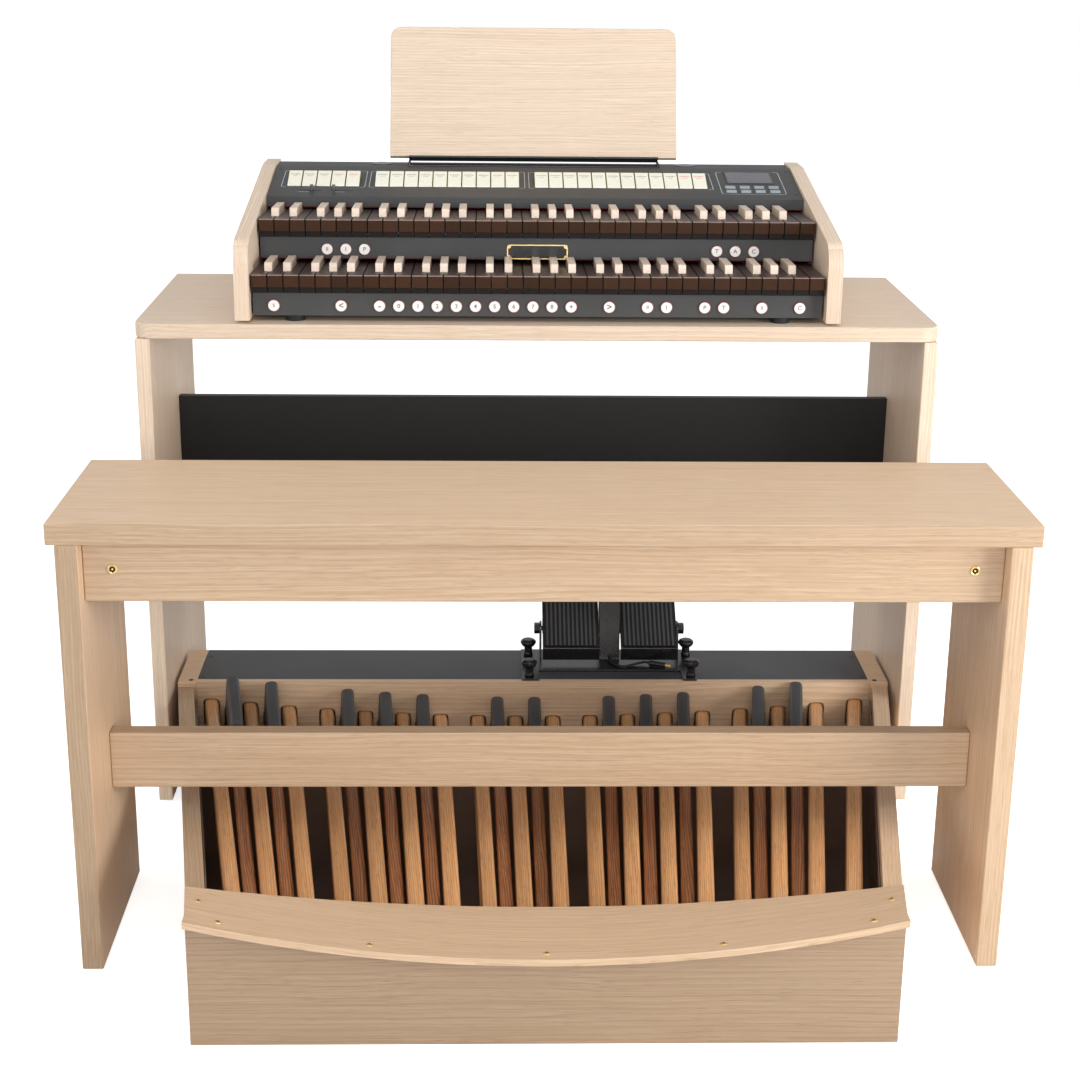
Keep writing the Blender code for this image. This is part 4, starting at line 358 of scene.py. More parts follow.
# Lighter grey for the mats' rib crests: a painted highlight.
RIB_HIGHLIGHT = coated("rubber_rib_highlight", (0.046, 0.048, 0.052), 0.50, 700.0, 0.00003)
STEEL = coated("zinc_steel", (0.58, 0.58, 0.60), 0.32, 500.0, 0.00003, metallic=1.0)
BRASS = coated("brass", (0.86, 0.62, 0.26), 0.32, 500.0, 0.00002, metallic=0.8, uneven=0.08)
SCREEN = coated("screen_window", (0.100, 0.095, 0.117), 0.24, 20.0, 0.0, uneven=0.05, coat=0.2, gloss=0.3)
BUTTON = coated("grey_button", (0.31, 0.34, 0.37), 0.45, 500.0, 0.00003, uneven=0.08)
FELT = felt()
CIRCUIT = coated("circuit_board", (0.02, 0.13, 0.05), 0.40, 160.0, 0.00005)


# Meshes

def chance(n):
    """A fixed number from 0 to 1 for each n."""
    return math.modf(abs(math.sin(n * 12.9898 + 4.137)) * 43758.5453)[0]


def merged_copy(node):
    """The node's own mesh with its doubles merged and its flat faces made whole."""
    bm = bmesh.new()
    bm.from_mesh(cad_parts[node].data)
    bmesh.ops.remove_doubles(bm, verts=bm.verts, dist=2e-6)
    bmesh.ops.dissolve_limit(bm, angle_limit=math.radians(0.6), verts=bm.verts, edges=bm.edges)
    return bm


def round_edges(bm, width, segments=2, sharper=30.0, clamp=True):
    """Bevel the edges that turn by more than an angle; unclamped, short edges keep the full width."""
    edges = [edge for edge in bm.edges if edge.is_manifold
             and edge.calc_face_angle(0.0) > math.radians(sharper)]
    bmesh.ops.bevel(bm, geom=edges, offset=width, offset_type="OFFSET", segments=segments, affect="EDGES",
                    profile=0.5, material=-1, clamp_overlap=clamp)


def block(bm, low, high):
    """A box between two corners, added to a mesh; returns its vertices."""
    low, high = Vector(low), Vector(high)
    made = bmesh.ops.create_cube(bm, size=1.0)["verts"]
    bmesh.ops.scale(bm, vec=high - low, verts=made)
    bmesh.ops.translate(bm, vec=(low + high) / 2, verts=made)
    return made


def disc(bm, centre, radius, depth, axis="Z", sides=40, edge=0.0):
    """A round slug from its centre's base along an axis, with its rims rounded."""
    made = bmesh.ops.create_cone(bm, cap_ends=True, segments=sides, radius1=radius, radius2=radius,
                                 depth=depth)["verts"]
    bmesh.ops.translate(bm, vec=(0, 0, depth / 2), verts=made)
    turn = {"X": Matrix.Rotation(math.pi / 2, 4, "Y"), "Y": Matrix.Rotation(math.pi / 2, 4, "X"),
            "Z": Matrix.Identity(4)}[axis]
    bmesh.ops.transform(bm, matrix=Matrix.Translation(centre) @ turn, verts=made)
    if edge:
        rims = [e for e in {e for v in made for e in v.link_edges} if e.calc_face_angle(0.0) > 1.0]
        bmesh.ops.bevel(bm, geom=rims, offset=edge, offset_type="OFFSET", segments=3, affect="EDGES",
                        profile=0.5, material=-1)
    return made


def finished(name, bm, materials, body=STATIC, replaces=(), choose=None, matrix=None, soft=True):
    """The mesh as a piece of the scene, riding on its body, with a material chosen for each face."""
    if matrix is not None:
        bmesh.ops.transform(bm, matrix=matrix, verts=bm.verts)
    bm.normal_update()
    if choose:
        for face in bm.faces:
            face.material_index = choose(face)
    mesh = bpy.data.meshes.new(name)
    bm.to_mesh(mesh)
    bm.free()
    for material in materials if isinstance(materials, (list, tuple)) else [materials]:
        mesh.materials.append(material)
    piece = bpy.data.objects.new(name, mesh)
    bpy.context.scene.collection.objects.link(piece)
    if soft:
        mesh.shade_smooth()
        mesh.set_sharp_from_angle(angle=math.radians(50))
        level = piece.modifiers.new("flat_faces", "WEIGHTED_NORMAL")
        level.keep_sharp = True
    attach(piece, body)
    if replaces:
        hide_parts(*replaces)
    return piece


def dressed(node, name, materials, ease=None, body=STATIC, choose=None, soft=True):
    """A node's own mesh as the piece that replaces it, with its edges eased."""
    bm = merged_copy(node)
    if ease:
        round_edges(bm, *ease)
    return finished(name, bm, materials, body, [node], choose, soft=soft)


def add_curve(bm, curve, matrix):
    """The surface of a curve or a text, added to a mesh; the curve itself is removed."""
    holder = bpy.data.objects.new(curve.name, curve)
    bpy.context.scene.collection.objects.link(holder)
    evaluated = holder.evaluated_get(bpy.context.evaluated_depsgraph_get())
    mesh = bpy.data.meshes.new_from_object(evaluated)
    mesh.transform(matrix)
    bm.from_mesh(mesh)
    bpy.data.meshes.remove(mesh)
    bpy.data.objects.remove(holder, do_unlink=True)
    bpy.data.curves.remove(curve)


def lay_grain(piece, along, seed=0.0, local=None, shade=None):
    """Store where each face corner lies in the wood: along the grain first, then across it.

    A face cut square across a plain board's grain is veneered along its longer side instead, and
    the narrow edges of an upright board are banded with grain along the edge. A local function
    names the stick that a point belongs to and the point's place in that stick. Each stick's tone
    is random unless a shade is given: a painted shade, darker where less light falls, as one number
    for all faces, or a pair for the front faces and the rest.
    """
    mesh = piece.data
    axes = {"X": (0, 1, 2), "Y": (1, 0, 2), "Z": (2, 0, 1)}[along]
    across = (axes[1], axes[0], axes[2])
    edge_banded = along == "Z"
    mesh.attributes.new("grain", "FLOAT_VECTOR", "CORNER")
    mesh.attributes.new("tone", "FLOAT", "CORNER")
    grain, tone = mesh.attributes["grain"], mesh.attributes["tone"]
    for face in mesh.polygons:
        order = across if abs(face.normal[axes[0]]) > 0.8 and not local else axes
        stick = local(face.center)[0] if local else 0
        shift = seed + 3.7 * chance(stick + seed)
        dark = chance(stick * 1.7 + seed + 0.3)
        # Boards take a painted shade in place of the random tone: darker where less light falls.
        if shade is not None:
            dark = shade[0 if face.normal.y < -0.6 else 1] if isinstance(shade, tuple) else shade
        for loop in face.loop_indices:
            place = mesh.vertices[mesh.loops[loop].vertex_index].co
            if local:
                place = local(place, stick)[1]
            lengthwise = (place[order[0]], place[order[1]], place[order[2]])
            if edge_banded and abs(face.normal.x) < 0.5:
                lengthwise = (place.y * face.normal.z - place.z * face.normal.y, place.x, 0.0)
            grain.data[loop].vector = (lengthwise[0] + shift, lengthwise[1] + shift * 0.37,
                                       lengthwise[2] + shift * 0.19)
            tone.data[loop].value = dark


def fan_stick(place, stick=None):
    """The pedal that a point belongs to, and the point turned into line with the midline."""
    lean = math.atan2(place.x, place.y - FAN_CENTRE)
    if stick is None:
        stick = round(lean / FAN_STEP * 2)
    away = math.hypot(place.x, place.y - FAN_CENTRE)
    return stick, Vector(((lean - stick * FAN_STEP / 2) * away, away, place.z))


def key_stick(place, stick=None):
    if stick is None:
        stick = math.floor((place.x + KEY_COUNT * KEY_PITCH / 2) / KEY_PITCH)
    return stick, place


def sharp_stick(place, stick=None):
    if stick is None:
        stick = round(place.x / KEY_PITCH * 2)
    return stick, place


def rail_stick(place, stick=None):
    """A side rail as one board, straightened from its flare."""
    side = 1 if place.x > 0 else -1
    return side, Vector((place.x - side * RAIL_FLARE * place.y, place.y, place.z))


def cap_stick(place, stick=None):
    """The heel cap as one board, its sagging curve made level."""
    rise = HEEL_CAP_ARC_RADIUS * (1 - math.cos(math.asin(place.x / HEEL_CAP_ARC_RADIUS)))
    return 0, Vector((place.x, place.y, place.z - rise))


# Oak boards

def oak_boards():
    """Each board with eased edges and its laminate's grain along its length, in one of two oaks: the paler
    one is painted light, and a painted shade darkens the boards where less light falls.
    """
    upright = (*LEGS, "cheek_left", "cheek_right")
    fore_and_aft = ("side_rail_left", "side_rail_right")
    across = ("stand_top", "bench_seat", "bench_front_apron", "bench_rear_apron", "bench_stretcher",
              "desk_board", "heel_board", "heel_cap", "toe_board", "toe_box_case", "heel_rail")
    bent = {"side_rail_left": rail_stick, "side_rail_right": rail_stick, "heel_cap": cap_stick}
    # The boards that the light falls on most take the paler oak, as painted light.
    pale = ("stand_top", "stand_leg_left", "stand_leg_right", "cheek_left", "cheek_right", "desk_board")
    # Painted shade for each board: darker where less light falls; a pair gives the front faces, then the
    # rest.
    painted_shades = {"heel_board": 0.80, "side_rail_left": 0.60, "side_rail_right": 0.15, "desk_board": 0.20,
              "bench_leg_left": (0.70, 0.0), "bench_leg_right": (0.42, 0.0), "bench_seat": (0.60, 0.0),
              "bench_front_apron": 0.50, "bench_stretcher": 0.46, "stand_top": (0.26, 0.0),
              "stand_leg_left": (0.16, 0.0), "stand_leg_right": (0.16, 0.0), "heel_cap": 0.27,
              "cheek_left": (0.20, 0.0), "cheek_right": (0.32, 0.0)}
    for grain, names in (("Z", upright), ("Y", fore_and_aft), ("X", across)):
        for n, name in enumerate(names):
            bm = merged_copy(name)
            round_edges(bm, 0.0006, 2, 25.0)
            if name in LEGS:
                raise_foot(bm)
            oak = LIT_OAK if name in pale else OAK
            board = finished(name + "_board", bm, oak, replaces=[name])
            seed = n * 1.3 + len(name) * 0.7
            lay_grain(board, grain, seed, bent.get(name), painted_shades.get(name, 0.0))


def raise_foot(bm, lift=0.004):
    """Lift a leg's lower end onto its glides."""
    for vert in bm.verts:
        if vert.co.z < lift:
            vert.co.z += lift


def leg_glides():
    """Round glides under the legs of the stand and the bench."""
    radius, height, inset = 0.0095, 0.0042, 0.04
    bm = bmesh.new()
    for leg in LEGS:
        low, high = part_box(leg)
        for y in (low.y + inset, high.y - inset):
            disc(bm, ((low.x + high.x) / 2, y, 0), radius, height, edge=0.0008, sides=32)
    finished("leg_glides", bm, BLACK)


# Manuals

def manual_keys(name):
    """Naturals with a painted highlight on the rounded front edge, painted shade on their sides and a dark
    under-lip, and sharps in pale wood.
    """
    naturals = name + "_naturals"
    low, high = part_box(naturals)
    front, edge_band, face_height = 0.002, 0.0035, 0.021
    bm = merged_copy(naturals)
    brow = max(vert.co.z for vert in bm.verts if vert.co.y < low.y + front)
    noses = [edge for edge in bm.edges
             if all(vert.co.y < low.y + front and vert.co.z > brow - 0.0005 for vert in edge.verts)]
    bmesh.ops.bevel(bm, geom=noses, offset=0.0022, offset_type="OFFSET", segments=4, affect="EDGES",
                    profile=0.5, material=-1)
    round_edges(bm, 0.0007, 2, 40.0, False)

    def zone(face):
        """The top, the front face, its painted highlight or a side in painted shade, in the order of the
        materials.
        """
        normal, middle = face.normal, face.calc_center_median()
        # The sides take painted shade, for the gaps between keys.
        if abs(normal.x) > 0.35:
            return 3
        # The upper faces of the rounded nose take the painted highlight.
        if middle.y < low.y + edge_band and 0.55 < normal.z < 0.99:
            return 2
        if normal.z > 0.7:
            return 0
        return 1 if middle.z > high.z - face_height else 3

    keys = finished(naturals + "_wood", bm, [KEY_TOP, KEY_FACE, KEY_HIGHLIGHT, KEY_SIDE_SHADE], naturals, [naturals],
                    zone)
    lay_grain(keys, "Y", 2.0, key_stick)
    sharps = name + "_sharps"
    blocks = dressed(sharps, sharps + "_wood", MAPLE, (0.0013, 3, 20.0), sharps)
    lay_grain(blocks, "Y", 5.0, sharp_stick)


def key_felts():
    """Red felt over the backs of the keys, under the middle rail and the control panel."""
    near, far, drop, gap = 0.0026, 0.0056, 0.0018, 0.0001
    for name, above in (("lower", "middle_rail"), ("upper", "control_panel")):
        low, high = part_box(above)
        bm = bmesh.new()
        reach = high.x - 0.001
        block(bm, (-reach, low.y + near, low.z - drop), (reach, low.y + far, low.z - gap))
        round_edges(bm, 0.0004, 2)
        finished("felt_strip_" + name, bm, FELT)


# Rails, pistons and nameplate

def rails():
    for name in ("lower_rail", "middle_rail"):
        dressed(name, name + "_channel", CHARCOAL)


def glyph_mesh(words, size, matrix, bm):
    """Flat lettering added to a mesh, standing a hair off the face that the matrix gives."""
    curve = bpy.data.curves.new("glyph", "FONT")
    curve.body = words
    curve.size = size
    curve.align_x = "CENTER"
    curve.align_y = "CENTER"
    curve.extrude = 0.00004
    curve.offset = size * 0.014
    add_curve(bm, curve, matrix)


def pistons(body, marks):
    """White thumb pistons with a thin coloured rim and a small mark on each face."""
    low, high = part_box(body)
    z = (low.z + high.z) / 2
    face, back = low.y, high.y - 0.0012
    caps, inks = bmesh.new(), bmesh.new()
    for step, mark in marks.items():
        x = PISTON_ORIGIN + step * PISTON_PITCH
        disc(caps, (x, back, z), PISTON_RADIUS - 0.0001, back - face, "Y", 48, 0.0009)
        stand = Matrix.Translation((x, face - 0.00006, z)) @ Matrix.Rotation(math.pi / 2, 4, "X")
        size = MARK_SIZES.get(mark, LETTER_SIZE if len(mark) == 1 else PAIR_SIZE)
        glyph_mesh(mark, size, stand, inks)

    def rim_or_face(cap_face):
        middle = cap_face.calc_center_median()
        step = min(marks, key=lambda n: abs(PISTON_ORIGIN + n * PISTON_PITCH - middle.x))
        away = math.hypot(middle.x - PISTON_ORIGIN - step * PISTON_PITCH, middle.z - z)
        return 0 if away < PISTON_RADIUS * 0.5 else 1

    finished(body + "_caps", caps, [PISTON_WHITE, PISTON_RIM], body, [body], rim_or_face)
    finished(body + "_marks", inks, INK, body, soft=False)


def nameplate():
    """A bare black plate in a thin brass frame with cut corners and four pins."""
    low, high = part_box("nameplate")
    front, depth = low.y, 0.0006
    bm = bmesh.new()
    block(bm, low + Vector((0, 0.0004, 0)), high)
    round_edges(bm, 0.0003, 2)
    finished("nameplate_ground", bm, BLACK, replaces=["nameplate"])
    cut, line, pin_inset, pin_radius = 0.0036, 0.0017, 0.0021, 0.0016
    middle = (low + high) / 2

    def ring(inset):
        """The plate's outline at an inset, with a step cut out of each corner."""
        half_x, half_z = (high.x - low.x) / 2 - inset, (high.z - low.z) / 2 - inset
        notch = cut + inset * 0.4
        corner = [(half_x - notch, half_z), (half_x - notch, half_z - notch * 0.5),
                  (half_x - notch * 0.5, half_z - notch), (half_x, half_z - notch)]
        around = corner + [(x, -z) for x, z in reversed(corner)]
        around += [(-x, -z) for x, z in corner] + [(-x, z) for x, z in reversed(corner)]
        return [(middle.x + x, middle.z + z) for x, z in around]

    bm = bmesh.new()
    outer, inner = ring(0.0), ring(line)
    back = front + depth
    loops = [[bm.verts.new((x, y, z)) for x, z in path]
             for path, y in ((outer, back), (outer, front), (inner, front), (inner, back))]
    count = len(outer)
    for first, second in zip(loops, loops[1:] + loops[:1]):
        for n in range(count):
            bm.faces.new((first[n], first[(n + 1) % count], second[(n + 1) % count], second[n]))
    bmesh.ops.recalc_face_normals(bm, faces=bm.faces)
    for x in (low.x + pin_inset, high.x - pin_inset):
        for z in (low.z + pin_inset, high.z - pin_inset):
            disc(bm, (x, back, z), pin_radius, depth, "Y", 20)
    finished("nameplate_frame", bm, BRASS)


# Control panel

def control_panel():
    dressed("control_panel", "control_panel_sheet", CHARCOAL)


def tabs():
    """Ivory tabs whose sides are dark olive, painted shade in the gaps between tabs, and short marks printed
    on each one's raised facet.
    """
    rise = Matrix.Rotation(TAB_FACET_SLOPE, 4, "X")
    crease = Matrix.Translation((0, TAB_FRONT + TAB_CREASE_FROM_FRONT, TAB_CREASE_RISE))
    for group, (count, left) in TAB_GROUPS.items():
        body = "tabs_" + group
        # Faces turned sideways take the painted shade of the gaps.
        dressed(body, body + "_ivory", [IVORY, IVORY_GAP_SHADE], (0.0008, 1, 12.0, False), body,
                lambda face: 1 if abs(face.normal.x) > 0.35 else 0)
        for ink, name, chosen in ((PALE_INK, "grey", range(count - 2)),
                                  (RED_INK, "red", range(count - 2, count))):
            bm = bmesh.new()
            for n in chosen:
                middle = left + (n + 0.5) * TAB_PITCH
                tab_words(bm, middle, n + 7.0 * len(group))
            finished(f"{body}_{name}_marks", bm, ink, body, matrix=PANEL @ crease @ rise, soft=False)


def tab_words(bm, middle, seed):
    """Two rows of short strokes, as small print seen from the bench."""
    for row, (y, height, reach) in enumerate(((0.0190, 0.0034, 0.0068), (0.0138, 0.0022, 0.0034))):
        reach += 0.0016 * chance(seed + row)
        x, n = -reach, 0
        while x < reach:
            width = 0.0006 + 0.0011 * chance(seed * 3.1 + n + 11 * row)
            low, high = y + height * 0.25 * chance(seed + n), y + height * (0.7 + 0.3 * chance(n * 2.3))
            block(bm, (middle + x, low, 0.00002), (middle + min(x + width, reach), high, 0.00008))
            x += width + 0.0005
            n += 1


def printed_line(points, bm, width):
    """A printed line through points on the panel, as a thin flat strip."""
    curve = bpy.data.curves.new("line", "CURVE")
    curve.dimensions = "3D"
    curve.bevel_depth = width / 2
    curve.bevel_resolution = 1
    spline = curve.splines.new("POLY")
    spline.points.add(len(points) - 1)
    for point, (x, y) in zip(spline.points, points):
        point.co = (x, y, 0, 1)
    add_curve(bm, curve, Matrix.Diagonal((1, 1, 0.12, 1)))


def rounded_path(corners, radius, steps=6):
    """Corner points with each inner corner turned into an arc."""
    path = [corners[0]]
    for n, corner in enumerate(corners[1:-1], 1):
        here = Vector(corner)
        before, after = Vector(corners[n - 1]), Vector(corners[n + 1])
        start = here + (before - here).normalized() * radius
        end = here + (after - here).normalized() * radius
        for step in range(steps + 1):
            t = step / steps
            path.append(tuple((1 - t) ** 2 * start + 2 * t * (1 - t) * here + t * t * end))
    return path + [corners[-1]]


def panel_print():
    """White lines round the tab groups' ends, the display and the slider scales."""
    bm = bmesh.new()
    near, far, radius, hook, margin = 0.0500, 0.1385, 0.005, 0.0085, 0.0085
    for count, left in TAB_GROUPS.values():
        right = left + count * TAB_PITCH
        for edge, turn in ((left - margin, 1), (right + margin, -1)):
            corners = [(edge + turn * hook, near), (edge, near), (edge, far), (edge + turn * hook, far)]
            printed_line(rounded_path(corners, radius), bm, 0.0011)
    x0, x1 = SCREEN_CENTRE - 0.0515, SCREEN_CENTRE + 0.0515
    y0, y1 = 0.0275, 0.1465
    half = SCREEN_WIDTH / 2 + 0.0035
    corners = [(SCREEN_CENTRE - half, y1), (x0, y1), (x0, y0), (x1, y0), (x1, y1), (SCREEN_CENTRE + half, y1)]
    printed_line(rounded_path(corners, 0.0065), bm, 0.0012)
    dashes, front, depth = 9, 0.0238, 0.0012
    for centre, reach in SLIDER_SCALES:
        for n in range(dashes):
            width = reach * (0.10 + 0.08 * chance(n + centre))
            x = centre - reach + 2 * reach * n / dashes
            block(bm, (x, front, 0.0), (x + width, front + depth + 0.0008 * chance(n * 1.9), 0.0001))
    finished("panel_print", bm, PRINT, matrix=PANEL @ Matrix.Translation((0, 0, 0.00003)))


def sliders():
    """Slider caps with a white index line, over dark slots."""
    for side in ("left", "right"):
        name = "slider_" + side
        dressed(name, name + "_cap", BLACK, (0.0004, 2, 25.0), name)
        low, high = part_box(name)
        bm = bmesh.new()
        x = (low.x + high.x) / 2
        block(bm, (x - 0.0004, SLIDER_UP_SLOPE - 0.0018, 0.0090),
              (x + 0.0004, SLIDER_UP_SLOPE + 0.0018, 0.00945))
        finished(name + "_line", bm, PRINT, name, matrix=PANEL, soft=False)
    bm = bmesh.new()
    for centre in SLIDER_CENTRES:
        block(bm, (centre - SLIDER_HALF_SLOT, SLIDER_UP_SLOPE - 0.0024, -0.0060),
              (centre + SLIDER_HALF_SLOT, SLIDER_UP_SLOPE + 0.0024, -0.0052))
    finished("slider_slot_shade", bm, RUBBER, matrix=PANEL, soft=False)


def display():
    """The screen in its bezel and rubbery grey buttons under it."""
    dressed("display_screen", "display_window", SCREEN, (0.0003, 2))
    bm = bmesh.new()
    half, near, far, wide = SCREEN_WIDTH / 2, SCREEN_FRONT, SCREEN_FRONT + SCREEN_LENGTH, 0.0022
    bottom, top = 0.0008, 0.0011
    for low, high in (((-half, near), (half, near + wide)), ((-half, far - wide), (half, far)),
                      ((-half, near + wide), (-half + wide, far - wide)),
                      ((half - wide, near + wide), (half, far - wide))):
        block(bm, (SCREEN_CENTRE + low[0], low[1], bottom), (SCREEN_CENTRE + high[0], high[1], top))
    finished("display_bezel", bm, BLACK, matrix=PANEL)
    dressed("display_buttons", "display_button_caps", BUTTON, (0.0009, 3, 40.0),
            "display_buttons")


def screws(name, places, radius, height, material):
    """Screw heads, one for each placing matrix: a domed cap with a dark cross let into it, painted shade for
    the cross recess.
    """
    heads, slots = bmesh.new(), bmesh.new()
    for place in places:
        dome = bmesh.ops.create_uvsphere(heads, u_segments=24, v_segments=12, radius=radius)["verts"]
        below = [vert for vert in dome if vert.co.z < -radius * 0.02]
        bmesh.ops.delete(heads, geom=below, context="VERTS")
        dome = [vert for vert in dome if vert.is_valid]
        bmesh.ops.scale(heads, vec=(1, 1, height / radius), verts=dome)
        bmesh.ops.transform(heads, matrix=place, verts=dome)
        # A dark cross on each head: painted shade in the cross recess.
        arm, half = radius * 0.55, radius * 0.13
        for low, high in (((-arm, -half), (arm, half)), ((-half, -arm), (half, arm))):
            cross = block(slots, (*low, height * 0.80), (*high, height * 1.01))
            bmesh.ops.transform(slots, matrix=place, verts=cross)
    finished(name, heads, material)
    finished(name + "_recess_shade", slots, MATT_BLACK, soft=False)


def socket_bolts(name, places, radius):
    """Brass bolt heads with a small bright pin in each six-sided socket, whose inside is dark with painted
    shade.
    """
    rings, socket_shade = bmesh.new(), bmesh.new()
    profile = [(0.62, -0.10), (0.62, 0.26), (0.80, 0.34), (0.95, 0.26), (1.0, 0.0)]
    for place in places:
        verts = [rings.verts.new((r * radius, 0, z * radius)) for r, z in profile]
        edges = [rings.edges.new(pair) for pair in zip(verts, verts[1:])]
        bmesh.ops.spin(rings, geom=verts + edges, cent=(0, 0, 0), axis=(0, 0, 1), angle=2 * math.pi,
                       steps=30, use_merge=True, use_duplicate=False)
        disc(rings, (0, 0, 0), radius * 0.20, radius * 0.12, sides=16)
        unplaced = [vert for vert in rings.verts if vert.co.length < 3 * radius]
        bmesh.ops.transform(rings, matrix=place, verts=unplaced)
        # A dark hexagon under each ring: painted shade inside the socket.
        base = disc(socket_shade, (0, 0, 0), radius * 0.66, radius * 0.05, sides=6)
        bmesh.ops.transform(socket_shade, matrix=place, verts=base)
    bmesh.ops.recalc_face_normals(rings, faces=rings.faces)
    finished(name, rings, BRASS)
    finished(name + "_sockets", socket_shade, RUBBER, soft=False)


def fasteners():
    """Black screws in the panel and toe box, and brass ones in the bench and heel cap."""
    black = [PANEL @ Matrix.Translation((side * PANEL_SCREW_HALF_SPACING, y, 0))
             for side in (-1, 1) for y in (0.031, 0.153)]
    edge = SCREEN_FRONT + SCREEN_LENGTH - 0.003
    black += [PANEL @ Matrix.Translation((SCREEN_CENTRE + side * 0.0395, edge, 0)) for side in (-1, 1)]
    screws("panel_screws", black, 0.0030, 0.0012, MATT_BLACK)
    low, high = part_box("toe_box_plate")
    box = [Matrix.Translation((side * x, y, high.z)) for side in (-1, 1)
           for x, y in ((high.x - 0.008, low.y + 0.010), (high.x - 0.008, high.y - 0.030),
                        (high.x + 0.010, low.y - 0.004))]
    screws("toe_box_screws", box, 0.0038, 0.0014, MATT_BLACK)
    low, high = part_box("bench_front_apron")
    bolts = [Matrix.Translation((side * (high.x - 0.0372), low.y, high.z - 0.0394))
             @ Matrix.Rotation(math.pi / 2, 4, "X") for side in (-1, 1)]
    socket_bolts("bench_bolts", bolts, 0.0066)
    low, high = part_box("heel_cap")
    seats = []
    for x, back in ((0.0, 0.016), (0.2175, 0.016), (0.402, 0.018), (0.4315, 0.0595)):
        for side in (-1, 1) if x else (1,):
            lean = math.asin(x / HEEL_CAP_ARC_RADIUS)
            z = HEEL_CAP_TOP + HEEL_CAP_ARC_RADIUS * (1 - math.cos(lean))
            seats.append(Matrix.Translation((side * x, low.y + back, z))
                         @ Matrix.Rotation(-side * lean, 4, "Y"))
    screws("heel_cap_screws", seats, 0.0042, 0.0013, BRASS)


def grommets():
    """Round plugs in the panel's two openings beside the music desk."""
    low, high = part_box("control_panel")
    y, z = high.y - RECESS_FROM_BACK, high.z - PANEL_SHEET_DROP
    bm = bmesh.new()
    for side in (-1, 1):
        disc(bm, (side * RECESS_HALF_SPACING, y, z), 0.0178, 0.0022, sides=48, edge=0.0008)
    finished("panel_grommets", bm, BLACK)


def desk_bracket():
    dressed("desk_bracket", "desk_bracket_steel", BLACK, (0.0004, 1, 40.0))


def console_case():
    """The floor tray with its rubber feet, the rear panel, sockets, frames and board."""
    under_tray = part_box("floor_tray")[1].z - 0.0017
    dressed("floor_tray", "floor_tray_sheet", [CHARCOAL, RUBBER],
            choose=lambda face: 1 if face.calc_center_median().z < under_tray else 0)
    for name, material, slot in (("rear_panel", CHARCOAL, "charcoal_steel"),
                                 ("tab_rod", STEEL, "bright_steel"),
                                 ("key_frame_lower", STEEL, "bright_steel"),
                                 ("key_frame_upper", STEEL, "bright_steel"),
                                 ("main_board", CIRCUIT, "circuit")):
        dressed(name, name + "_dressed", material)
    dressed("rear_sockets", "jack_panel", BLACK, (0.0005, 2, 40.0))
    low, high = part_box("rear_sockets")
    z, proud, depth = (low.z + high.z) / 2, 0.0001, 0.0004
    rings, mouths = bmesh.new(), bmesh.new()
    for n in range(SOCKET_COUNT):
        x = SOCKET_LEFT + n * SOCKET_PITCH
        disc(rings, (x, high.y, z), 0.0052, depth, "Y", 32)
        disc(mouths, (x, high.y + proud, z), 0.0033, depth, "Y", 32)
    left, right = INLET_SIDES
    block(mouths, (left, high.y - depth, z - 0.009), (right, high.y + proud, z + 0.009))
    finished("jack_rings", rings, STEEL)
    finished("jack_mouths", mouths, RUBBER, soft=False)


# Stand, pedalboard and expression pedals

def modesty_panel():
    dressed("modesty_panel", "modesty_board", BLACK_LINEN, (0.0008, 2))


def pedals():
    """Pedals as lacquered sticks, each of its own tone, and black caps on the sharps."""
    ease = (0.0012, 2, 25.0)
    sticks = dressed("pedal_naturals", "pedal_natural_sticks", PEDAL_WOOD, ease,
                     "pedal_naturals")
    lay_grain(sticks, "Y", 1.0, fan_stick)

    def wood_or_cap(face):
        """The stick or the cap on it: caps are what stands above the concave fan of wooden tops."""
        middle = face.calc_center_median()
        share = math.atan2(middle.x, middle.y - FAN_CENTRE) / FAN_STEP / FAN_HALF_STEPS
        behind = middle.y - STAND_FRONT
        fall = PEDAL_FALL - PEDAL_CURVE_GROWTH * share * share
        top = SHARP_TOE_TOP + PEDAL_TOE_CURVE * share * share + (behind - TOE_BOARD_FRONT) * fall / PEDAL_RUN
        return 1 if behind > CAP_START and middle.z > top else 0

    sticks = dressed("pedal_sharps", "pedal_sharp_sticks", [PEDAL_DARK, MATT_BLACK], ease,
                     "pedal_sharps", wood_or_cap)
    lay_grain(sticks, "Y", 4.0, fan_stick)


def pedalboard_sheets():
    for name, material in (("toe_box_plate", SLATE), ("floor_panel", FLOOR_SHEET)):
        dressed(name, name + "_sheet", material, (0.0005, 1))


def rail_liners():
    """Dark varnished boards on the inner faces of the side rails."""
    thickness, top, clearance = 0.0015, 0.150, 0.0012
    low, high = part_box("floor_panel")
    near, far = low.y + 0.020, high.y - 0.001
    inner = RAIL_OUTER_TOE - RAIL_THICKNESS - clearance
    for side, name in ((-1, "left"), (1, "right")):
        bm = bmesh.new()
        for vert in block(bm, (0, near, high.z + 0.001), (thickness, far, top)):
            ahead_of_toe = STAND_FRONT + TOE_BOARD_FRONT - vert.co.y
            vert.co.x = side * (inner - vert.co.x - ahead_of_toe * RAIL_FLARE)
        bmesh.ops.recalc_face_normals(bm, faces=bm.faces)
        finished("rail_liner_" + name, bm, LINER)


